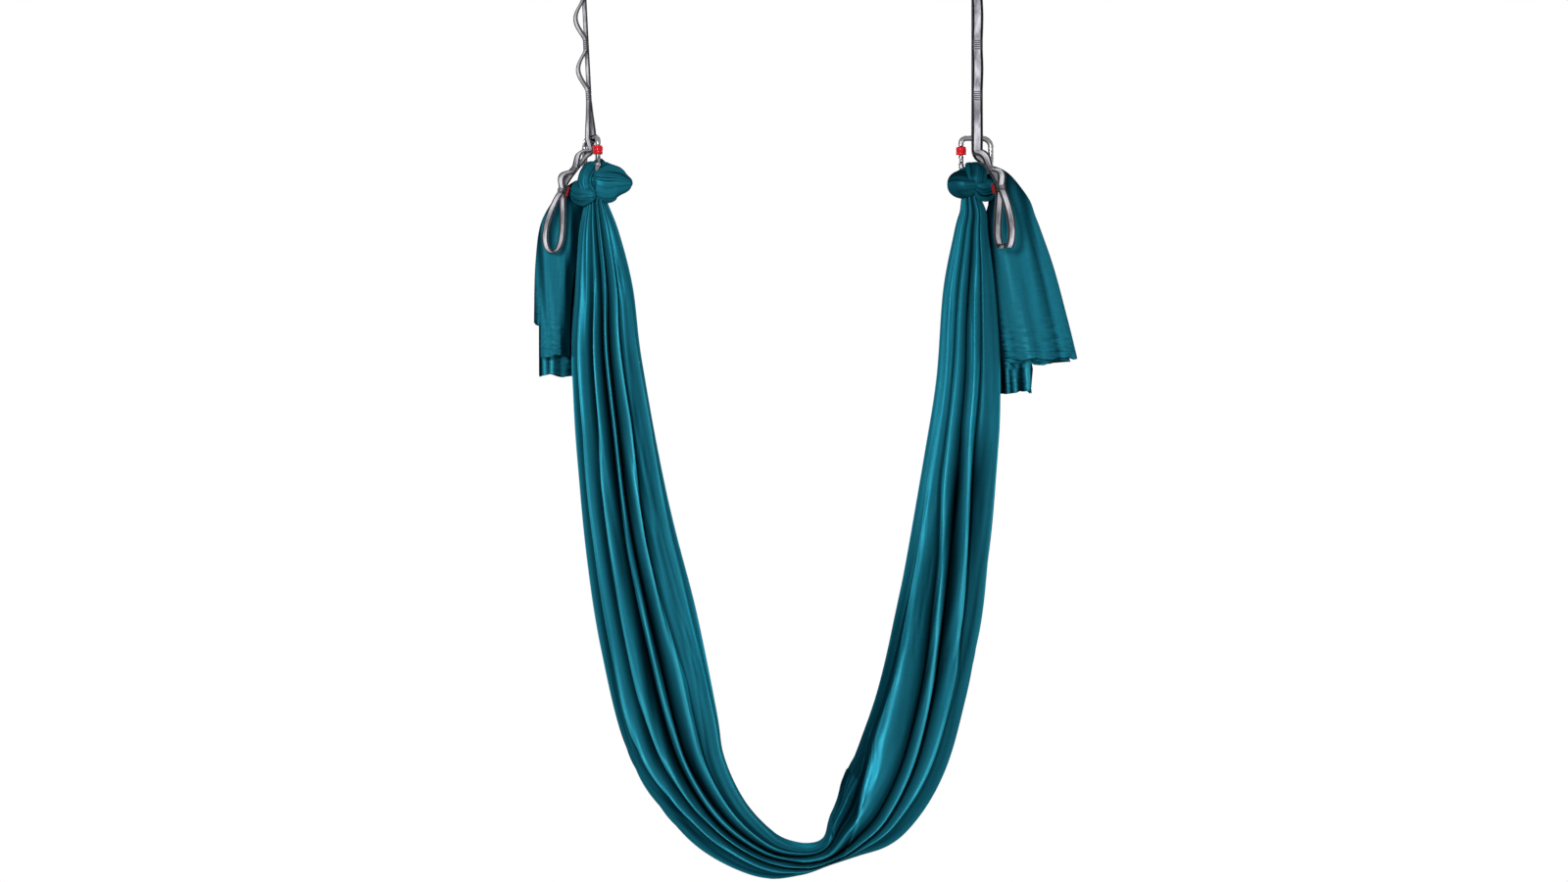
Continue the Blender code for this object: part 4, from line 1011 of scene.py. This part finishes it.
def make_webbing(name, strap, route, material):
    """A flat woven band that follows points of offset and s beside the strap's line, with closed ends."""
    rings = []
    middles = []
    for index, (offset, s) in enumerate(route):
        before = route[max(index - 1, 0)]
        after = route[min(index + 1, len(route) - 1)]
        run_n, run_s = np.array(after) - np.array(before)
        length = math.hypot(run_n, run_s)
        spot, run, normal, across = strap.frame(s)
        centre = spot + normal * offset
        face = (normal * run_s - run * run_n) / length
        middles.append(centre)
        ring = []
        for u, lift in webbing_section:
            ring.append(centre + across * u * (webbing_width / 2) + face * lift * webbing_thickness / 2)
        rings.append(ring)
    reach = np.append(0, np.cumsum([(b - a).length for a, b in zip(middles, middles[1:])]))
    rings = [[middles[0]] * len(webbing_section)] + rings + [[middles[-1]] * len(webbing_section)]
    reach = np.concatenate([reach[:1], reach, reach[-1:]])
    flat = flat_grid(np.array([[u * webbing_width / 2 for u, _ in webbing_section]]), reach[:, None])
    return grid_piece(name, np.array(rings), flat, material, joined=True)


def tack_bar(strap, middle, way, lift):
    """The points of one bar of thread across the webbing, at middle along the strap."""
    rows = []
    for row in range(bar_rows):
        over = row / 3 - 1
        spot, run, normal, across = strap.frame(middle + over * bar_half_length)
        line = []
        for column in range(bar_columns):
            u = column / 30 - 1
            odd = column % 2
            stand = bar_height * (1 - over**2) * min(1, 12 * (1 - abs(u))) + thread_height * odd - bar_sunk
            shift = run * (thread_shift * odd * (1 - abs(over)))
            line.append(spot + normal * way * (lift + stand) + across * u * bar_half_width + shift)
        rows.append(line)
    return rows


def make_stitching(name, strap, thread):
    """The bar tacks: raised rows of dense zigzag thread across the webbing, on both of its faces."""
    face = webbing_thickness / 2 - near_layer
    # Each tack: its start, its length and how far out the back face lies, with one layer more by a loop
    tacks = [(tack_starts[0], tack_length, face + layer_step)]
    tacks += [(start, tack_length, face) for start in tack_starts[1:]]
    tacks.append((strap.tack_s + 0.001, 0.008, face))
    tacks.append((strap.loose_s + loose_tacks[0], tail_tack_length, face))
    tacks.append((strap.loose_s + loose_tacks[1], tail_tack_length, face + layer_step))
    bars = []
    for start, length, back_face in tacks:
        count = max(2, round(length / bar_spacing))
        for bar in range(count):
            middle = start + length * (bar + 0.5) / count
            bars.append(tack_bar(strap, middle, 1, face))
            bars.append(tack_bar(strap, middle, -1, back_face))
    quads = grid_quads(bar_rows, bar_columns)
    firsts = np.arange(len(bars)) * bar_rows * bar_columns
    return smooth_piece(name, np.array(bars), np.concatenate([quads + first for first in firsts]), thread)


def make_tag(name, strap, label):
    """A blank folded label in two colours, sewn to the strap's edge below the lower bow."""
    spot, run, normal, across = strap.frame(strap.loose_s + loose_tacks[1] + tail_tack_length / 2)
    side = across if across.y < 0 else -across
    edge = spot + side * (webbing_width / 2 + tag_gap) - normal * layer_step / 2
    section = tag_fold + [(reach, -lift) for reach, lift in reversed(tag_fold[:-1])]
    inner = []
    for reach, lift in reversed(section):
        inner.append((max(reach - tag_cloth_thickness, tag_sewn_reach), lift * 0.35))
    rows = []
    flat = []
    for step in range(13):
        height = step / 6 - 1
        ring = []
        for reach, lift in section + inner:
            opened = float(smooth(reach / 0.003))
            half = tag_sewn_half_width + (tag_half_width - tag_sewn_half_width) * opened
            curl = tag_curl * math.sin(height * 2.4) * reach / tag_length
            ring.append(edge + side * reach - run * half * height + normal * (lift + curl))
        rows.append(ring)
        flat.append([(reach, tag_half_width * height) for reach, _ in section + inner])
    return grid_piece(name, np.array(rows), np.array(flat), label, joined=True)


# Carabiners

frame_half_width = 0.026
frame_height = 0.062
gate_top_corner = 0.009
spine_top_corner = 0.016
bottom_corner = 0.0165
hinge_to_rod_end = 0.0056
pin_depth = frame_height - bottom_corner - hinge_to_rod_end - 0.0005
nose_end = 0.0135
nose_slot_width = 0.0032
nose_outer_wall = 0.0016
pin_hole_radius = 0.0017
tongue_width = 0.0036
tongue_radius = 0.0041
tongue_root = 0.0080
slot_depth = 0.005
nose_gap = 0.0007
blade_gap = 0.0006
bore_roof = 0.003
fork_reach = 0.014
fork_height = 0.0044
barrel_chamfer = 0.0008
thread_rounding = 0.0002
running_gap = 0.0003
rod_end_chamfer = 0.0004
barrel_radius = 0.0044
heel_radius = 0.0046
bore_radius = 0.0026
thread_radius = 0.0049
sleeve_drop = 0.0150
sleeve_length = 0.0155
sleeve_radius = 0.0090
sleeve_bore = 0.0053
sleeve_bore_chamfer = 0.0004
sleeve_sides = 96
sleeve_edge = 0.0022
sleeve_edge_drop = 0.0016
dimple_rows = 3
dimples_round = 12
dimple_row_step = 0.0042
dimple_radius = 0.00175
dimple_depth = 0.0008
groove_turns = 9
rod_sides = 28
# Each carabiner: the centre of its top bow, and its turn about the vertical
carabiner_places = {
    "upper_left": ((-0.348, 0, rod_radius), math.pi),
    "upper_right": ((0.348, 0, rod_radius), 0.0),
    "lower_left": ((-0.329, -0.001732, lower_bow), math.radians(-60)),
    "lower_right": ((0.346, 0, lower_bow), math.pi),
}


def arc(centre, radius, start, end, steps=12):
    """Points on an arc in the carabiner's own XZ plane, angles in degrees."""
    angles = [math.radians(start + (end - start) * step / steps) for step in range(steps + 1)]
    return [(centre[0] + radius * math.cos(angle), centre[1] + radius * math.sin(angle)) for angle in angles]


def rod_line():
    """The rod's centreline from the nose over the top bow, down the spine and back to the hinge."""
    half = frame_half_width
    low = bottom_corner - frame_height
    path = [(half, -nose_end), (half, -nose_end + 0.002)]
    path += arc((half - gate_top_corner, -gate_top_corner), gate_top_corner, 0, 90)
    path += arc((spine_top_corner - half, -spine_top_corner), spine_top_corner, 90, 180)
    path += arc((bottom_corner - half, low), bottom_corner, 180, 270)
    path += arc((half - bottom_corner, low), bottom_corner, 270, 360)
    path.append((half, -pin_depth - hinge_to_rod_end))
    return np.array(path)


def ring_mesh(name, rings, hollow=False):
    """A closed mesh through rings of points. Hollow, it goes on from the last ring to the first. If not,
    it has a flat face over each end."""
    body = bmesh.new()
    loops = [[body.verts.new(point) for point in ring] for ring in rings]
    if hollow:
        loops.append(loops[0])
    for here, there in zip(loops, loops[1:]):
        for step in range(len(here)):
            after = (step + 1) % len(here)
            body.faces.new((here[step], here[after], there[after], there[step]))
    if not hollow:
        body.faces.new(loops[0])
        body.faces.new(loops[-1])
    bmesh.ops.recalc_face_normals(body, faces=body.faces)
    mesh = bpy.data.meshes.new(name)
    body.to_mesh(mesh)
    body.free()
    return mesh


def loft(name, rings):
    """A closed body through rings of points, with a flat face over each end."""
    return linked(name, ring_mesh(name, rings))


def block(name, low, high):
    """A cutter or a lug with square corners."""
    flat = [(low[0], low[1]), (high[0], low[1]), (high[0], high[1]), (low[0], high[1])]
    return loft(name, [[(x, y, z) for x, y in flat] for z in (low[2], high[2])])


def round_bar(name, radius, length, centre, sides=32):
    """A bar across the carabiner, to cut a pin's hole."""
    angles = [math.tau * step / sides for step in range(sides)]
    ring = [(centre[0] + radius * math.cos(a), centre[2] + radius * math.sin(a)) for a in angles]
    return loft(name, [[(x, centre[1] + y, z) for x, z in ring] for y in (-length / 2, length / 2)])


def revolved(name, profile, sides=40):
    """A turned body from (radius, height) points down its outer side."""
    angles = [math.tau * step / sides for step in range(sides)]
    rings = []
    for radius, height in profile:
        rings.append([(radius * math.cos(a), radius * math.sin(a), height) for a in angles])
    return loft(name, rings)


def cut_and_joined(body, steps, bevel=0.0002):
    """A body after its boolean steps, with its sharp edges eased."""
    for tool, operation in steps:
        change = body.modifiers.new(operation.lower(), "BOOLEAN")
        change.operation = operation
        change.solver = "EXACT"
        change.object = tool
    eased = body.modifiers.new("eased_edges", "BEVEL")
    eased.width = bevel
    eased.segments = 2
    eased.limit_method = "ANGLE"
    eased.angle_limit = math.radians(50)
    eased.use_clamp_overlap = True
    bpy.context.view_layer.update()
    graph = bpy.context.evaluated_depsgraph_get()
    mesh = bpy.data.meshes.new_from_object(body.evaluated_get(graph))
    for used in [body] + [tool for tool, _ in steps]:
        bpy.data.objects.remove(used, do_unlink=True)
    mesh.shade_smooth()
    mesh.set_sharp_from_angle(angle=math.radians(38))
    return mesh


def rod_ring(x, z, dx, dz, radius):
    """Points round the rod at x, z, where it runs along dx, dz."""
    ring = []
    for step in range(rod_sides):
        angle = math.tau * step / rod_sides
        out = radius * math.cos(angle)
        ring.append((x - dz * out, radius * math.sin(angle), z + dx * out))
    return ring


def frame_mesh():
    """The bent rod, with the slot in its nose and its hinge tongue."""
    path = rod_line()
    rings = []
    for index, ((x, z), (dx, dz)) in enumerate(zip(path, directions(path))):
        at_end = index in (0, len(path) - 1)
        rings.append(rod_ring(x, z, dx, dz, rod_radius - rod_end_chamfer if at_end else rod_radius))
        if index == 0:
            rings.append(rod_ring(x, z + rod_end_chamfer, dx, dz, rod_radius))
    rod = loft("rod", rings)
    half = frame_half_width
    slot = block("nose_slot", (half - 2 * rod_radius, -nose_slot_width / 2, -nose_end - rod_radius),
                 (half + rod_radius - nose_outer_wall, nose_slot_width / 2, slot_depth - nose_end))
    outline = arc((half, -pin_depth), tongue_radius, 0, 180, 20)
    outline += [(half + way * tongue_radius, -pin_depth - tongue_root) for way in (-1, 1)]
    tongue = loft("tongue", [[(x, y, z) for x, z in outline] for y in (-tongue_width / 2, tongue_width / 2)])
    hole = round_bar("pin_hole", pin_hole_radius, 3 * rod_radius, (half, 0, -pin_depth))
    return cut_and_joined(rod, [(slot, "DIFFERENCE"), (tongue, "UNION"), (hole, "DIFFERENCE")])


def gate_mesh():
    """The gate's barrel with its blade, thread, spring bore and forked heel, about the hinge pin."""
    top = pin_depth - nose_end - nose_gap
    thread_top = pin_depth - sleeve_drop - 0.0015
    thread_low = pin_depth - sleeve_drop - sleeve_length + 0.0020
    profile = [(0.0001, top), (barrel_radius - barrel_chamfer, top), (barrel_radius, top - barrel_chamfer)]
    profile.append((barrel_radius, thread_top))
    pitch = (thread_top - thread_low) / groove_turns
    for turn in range(groove_turns):
        high = thread_top - (thread_top - thread_low) * turn / groove_turns
        profile.append((thread_radius - thread_rounding, high - 0.2 * pitch))
        profile.append((thread_radius, high - 0.45 * pitch))
        profile.append((thread_radius - thread_rounding, high - 0.7 * pitch))
        profile.append((barrel_radius + 0.0001, high - 0.95 * pitch))
    profile += [(barrel_radius, thread_low - 0.0005), (barrel_radius, 0.0040)]
    for step in range(1, 9):
        angle = -math.pi / 2 * step / 8
        profile.append((max(heel_radius * math.cos(angle), 0.0001), heel_radius * math.sin(angle)))
    barrel = revolved("barrel", profile)
    side = nose_slot_width / 2 - running_gap
    blade_top = pin_depth + slot_depth - nose_end - blade_gap
    blade = block("gate_blade", (0.0016 - barrel_radius, -side, top - 0.002),
                  (rod_radius - nose_outer_wall - running_gap, side, blade_top))
    fork_side = tongue_width / 2 + running_gap
    fork = block("gate_fork", (-fork_reach, -fork_side, -fork_reach), (fork_reach, fork_side, fork_height))
    bore = revolved("gate_bore", [(bore_radius, top - bore_roof), (bore_radius, 0.0)], 24)
    hole = round_bar("gate_pin_hole", pin_hole_radius, 0.02, (0, 0, 0))
    steps = [(blade, "UNION"), (fork, "DIFFERENCE"), (bore, "DIFFERENCE"), (hole, "DIFFERENCE")]
    return cut_and_joined(barrel, steps, 0.00012)


def sleeve_mesh():
    """The red locking nut: a rounded barrel with staggered rows of round dimples for the fingers."""
    top = pin_depth - sleeve_drop
    middle = top - sleeve_length / 2
    low = top - sleeve_length
    angle = np.linspace(0, math.tau, sleeve_sides, endpoint=False)[None, :]
    heights = np.linspace(0, 1, 41)[:, None]
    z = top - sleeve_length * heights
    from_edge = np.clip(np.minimum(heights, 1 - heights) * sleeve_length / sleeve_edge, 0, 1)
    rounding = 1 - np.sqrt(np.clip(1 - (1 - from_edge) ** 2, 0, 1))
    radius = sleeve_radius - sleeve_edge_drop * rounding + 0 * angle
    for row in range(dimple_rows):
        row_height = middle + dimple_row_step * (row - 1)
        for dimple in range(dimples_round):
            spot = math.tau * (dimple + 0.5 * (row % 2)) / dimples_round
            round_by = sleeve_radius * np.abs((angle - spot + math.pi) % math.tau - math.pi)
            away = np.hypot(round_by, z - row_height) / dimple_radius
            radius -= dimple_depth * np.clip(1 - away**2, 0, 1) ** 0.8
    outer = np.stack([radius * np.cos(angle), radius * np.sin(angle), z + 0 * angle], axis=-1)
    wide = sleeve_bore + sleeve_bore_chamfer
    reach = np.array([wide, sleeve_bore, sleeve_bore, wide])[:, None]
    height = np.array([low, low + sleeve_bore_chamfer, top - sleeve_bore_chamfer, top])[:, None]
    inner = np.stack([reach * np.cos(angle), reach * np.sin(angle), height + 0 * angle], axis=-1)
    mesh = ring_mesh("locking_sleeve", np.concatenate([outer, inner]), hollow=True)
    mesh.shade_smooth()
    mesh.set_sharp_from_angle(angle=math.radians(50))
    return mesh


def make_carabiners(steel, gate_steel, red):
    """Frame, gate and sleeve of each carabiner, in the places where the frame's own pieces stand."""
    kinds = {
        "frame": (frame_mesh(), "_frame", "carabiner_steel", steel),
        "gate": (gate_mesh(), "_gate", "gate_steel", gate_steel),
        "sleeve": (sleeve_mesh(), "_locking_sleeve", "red_sleeve", red),
    }
    for prefix, (top_centre, turn) in carabiner_places.items():
        turned = Matrix.Rotation(turn, 4, "Z")
        at_top = Matrix.Translation(top_centre) @ turned
        at_pin = at_top @ Matrix.Translation((frame_half_width, 0, -pin_depth))
        holder = "anchors" if prefix.startswith("upper") else "hammock"
        bodies = {"frame": holder, "gate": prefix + "_gate", "sleeve": prefix + "_sleeve"}
        for kind, (mesh, suffix, slot, finish) in kinds.items():
            copy = mesh.copy()
            copy.transform(at_top if kind == "frame" else at_pin)
            copy.materials.clear()
            copy.materials.append(finish)
            piece = linked(prefix + "_fine" + suffix, copy)
            tell_frame(piece, bodies[kind], prefix + "_carabiner" + suffix)


# Finishes

def tricot_material():
    """Teal nylon tricot: a satin face, fine ribs along the cloth and a faint grain. Its colour runs from a
    painted highlight on fold crests through the cloth's own teal to painted shade down in the valleys. The
    tails, where the flat cloth's Y is below 0, are crumpled too, with a mottled painted shade of the
    crumples, strongest by the hem, and a seam by the hem."""
    material, start = new_material("teal_tricot")
    flat = start.node("ShaderNodeUVMap", {"uv_map": "cloth"})
    painted_fold_shading = start.node("ShaderNodeAttribute", {"attribute_name": "painted_fold_shading"}, None, "Fac")
    grain = flat.noise((900.0, 500.0, 1.0))
    pulls = flat.noise((160.0, 14.0, 1.0), 3.0)
    broad = flat.noise((9.0, 3.0, 1.0))
    wrinkles = flat.noise((60.0, 120.0, 1.0), 3.0, 0.65)
    mottle = flat.noise((110.0, 190.0, 1.0), 3.0, 0.6)
    tone = (broad * 0.4 + pulls * 0.3 + grain * 0.15 + wrinkles * 0.15).between(0.32, 0.68)
    # The first colour is a painted highlight for fold crests; the second is the cloth's own teal
    painted_crest_light = tone.mix(colour(40, 131, 150), colour(50, 149, 170))
    plain = tone.mix(colour(20, 92, 109), colour(27, 106, 125))
    up_tail = flat.part("Y")
    on_tail = up_tail < 0.0
    by_hem = up_tail.between(-0.10, -0.02) * on_tail
    seam = (abs(up_tail + 0.0125) < 0.0008) * on_tail
    # On the tails, a mottled painted shade of the crumples, strongest by the hem, and the seam darker
    crumple_shade_and_seam = (mottle - 0.5) * (0.12 + 0.46 * by_hem) * on_tail + 0.10 * seam
    painted_shading_with_seam = painted_fold_shading + crumple_shade_and_seam
    # Painted shading from the mesh: the painted highlight on crests, the cloth's own teal, then painted
    # shade, nearly black, down in the valleys
    base = painted_shading_with_seam.between(0.0, 0.34).mix(painted_crest_light, plain)
    base = (painted_shading_with_seam.between(0.26, 0.96) * 0.96).mix(base, colour(0, 15, 24))
    height = pulls * 0.7 + grain * 0.3 + wrinkles * (0.15 + 1.3 * by_hem) - 1.5 * seam
    rough = 0.30 + 0.10 * grain + 0.16 * on_tail
    constants = {"Metallic": 0.26, "Specular IOR Level": 0.0, "Specular Tint": colour(10, 50, 60)}
    return surface(material, constants, base, rough, height, (0.28, 0.0012))


def webbing_material():
    """Grey satin webbing with black selvedges, light overcast stitches on them and a fine weave, and a
    painted sheen in cloudy patches along its middle.
    """
    material, start = new_material("daisy_webbing")
    flat = start.node("ShaderNodeUVMap", {"uv_map": "cloth"})
    across = flat.part("X")
    length = flat.part("Y")
    side = abs(across)
    weave = length.wave(0.0011) * 0.5 + across.wave(0.0009) * 0.5
    # Cloudy patches along the middle are a painted sheen, lighter and darker, and a little rougher where
    # lighter
    cloudy_sheen = flat.noise((70.0, 24.0, 1.0), 3.0).between(0.30, 0.70)
    middle = (cloudy_sheen * 0.9 + weave * 0.06 + 0.02).mix(colour(112, 111, 120), colour(238, 237, 245))
    edge = side.between(0.0053, 0.0057)
    stitch = (length + side * 0.9).wave(0.0034).between(0.52, 0.92) * side.between(0.0084, 0.0088)
    selvedge = (stitch * 0.80).mix(colour(2, 2, 3), colour(150, 150, 155))
    base = edge.mix(middle, selvedge)
    rough = 0.42 + 0.12 * cloudy_sheen + 0.12 * edge
    height = weave * 0.5 + stitch * 1.2 + edge * 0.4
    return surface(material, {"Specular IOR Level": 0.12}, base, rough, height, (0.5, 0.0003))


def stitching_material():
    """Grey bar tack thread."""
    material, start = new_material("tack_thread")
    worn = start.node("ShaderNodeTexCoord", None, None, "Object").noise(900.0)
    base = worn.mix(colour(30, 30, 34), colour(92, 91, 98))
    return surface(material, {"Specular IOR Level": 0.4}, base, 0.45 + 0.2 * worn, worn, (0.4, 0.0002))


def tag_material():
    """A blank satin label, black by the webbing and red outside, its red darkened as painted shade."""
    material, start = new_material("folded_label")
    flat = start.node("ShaderNodeUVMap", {"uv_map": "cloth"})
    across = flat.part("X")
    weave = across.wave(0.0005) * flat.part("Y").wave(0.0005)
    grain = flat.noise((1500.0, 400.0, 1.0))
    # The red is darkened below the label's own red as painted shade
    red = grain.mix(colour(110, 6, 8), colour(150, 14, 14))
    black = grain.mix(colour(12, 12, 14), colour(30, 30, 33))
    base = across.between(0.0052, 0.0056).mix(black, red)
    rough = 0.4 + 0.15 * grain
    return surface(material, {"Specular IOR Level": 0.1}, base, rough, weave + grain, (0.3, 0.0001))


def metal_material(name, dark, light, rough):
    """Bright metal with fine drawing lines, a faint haze and small scuffs."""
    material, start = new_material(name)
    place = start.node("ShaderNodeTexCoord", None, None, "Object")
    haze = place.noise(60.0, 3.0)
    lines = place.noise((900.0, 900.0, 160.0))
    scuff = place.noise(420.0, 4.0, 0.7).between(0.62, 0.74)
    base = (haze * 0.6 + lines * 0.4).mix(colour(*dark), colour(*light))
    constants = {"Metallic": 1.0, "Specular Tint": (0.04, 0.04, 0.05, 1)}
    height = lines * 0.35 + scuff * 0.5
    return surface(material, constants, base, rough + 0.10 * haze + 0.14 * scuff, height, (0.12, 0.0002))


def sleeve_material():
    """Red anodised aluminium, glossy, a little paler where fingers have worn its high spots."""
    material, start = new_material("red_anodised")
    place = start.node("ShaderNodeTexCoord", None, None, "Object")
    haze = place.noise(130.0, 3.0)
    worn = place.noise(700.0, 4.0, 0.7).between(0.60, 0.75)
    base = (haze * 0.5 + worn * 0.35).mix(colour(172, 0, 12), colour(222, 6, 30))
    constants = {"Metallic": 0.30, "Coat Roughness": 0.05, "Coat Weight": 0.18, "Specular IOR Level": 0.1}
    rough = 0.20 + 0.10 * haze + 0.1 * worn
    return surface(material, constants, base, rough, worn + haze * 0.4, (0.1, 0.0002))


bpy.context.scene.view_settings.view_transform = "Standard"
make_camera()
make_stage()
for name, lamp in lamps.items():
    make_lamp(name, *lamp)
tricot = tricot_material()
sling = make_sling(tricot)
knots = make_knot("cloth_knot_left", left_knot_bundles, tricot)
knots += make_knot("cloth_knot_right", right_knot_bundles, tricot)
left_tail = make_tail("left_tail", "cloth_tail_left", left_tail_route, left_tail_layers, left_tail_waves,
                      1, 3, tricot)
right_tail = make_tail("right_tail", "cloth_tail_right", right_tail_route, right_tail_layers,
                       right_tail_waves, -1, 5, tricot)

webbing = webbing_material()
thread = stitching_material()
label = tag_material()
straps = {
    "left": Strap(-0.348, -0.330, (-66, -60, -53), left_loose_route),
    "right": Strap(0.348, 0.348, (0, 0, 42), right_loose_route),
}
for prefix, strap in straps.items():
    base = make_webbing(prefix + "_base_webbing", strap, base_route(strap), webbing)
    pockets = make_webbing(prefix + "_pocket_webbing", strap, pocket_route(strap), webbing)
    stitches = make_stitching(prefix + "_bar_tacks", strap, thread)
    tag = make_tag(prefix + "_folded_label", strap, label)
    tell_frame(base, "hammock", prefix + "_strap_base")
    tell_frame(pockets, "hammock", prefix + "_strap_pockets")
    tell_frame(stitches, "hammock")
    tell_frame(tag, "hammock", prefix + "_strap_tag")
steel = metal_material("polished_steel", (92, 92, 96), (156, 156, 160), 0.10)
gate_steel = metal_material("gate_steel", (58, 58, 62), (112, 112, 116), 0.16)
make_carabiners(steel, gate_steel, sleeve_material())
small_steel = metal_material("pin_steel", (120, 120, 122), (170, 170, 172), 0.24)
brass = metal_material("plunger_brass", (150, 118, 60), (190, 160, 98), 0.24)
small_finishes = {"_hinge_pin": small_steel, "_gate_spring": small_steel, "_gate_plunger": brass}
for name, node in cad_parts.items():
    for word, finish in small_finishes.items():
        if name.endswith(word):
            node.data.materials.clear()
            node.data.materials.append(finish)
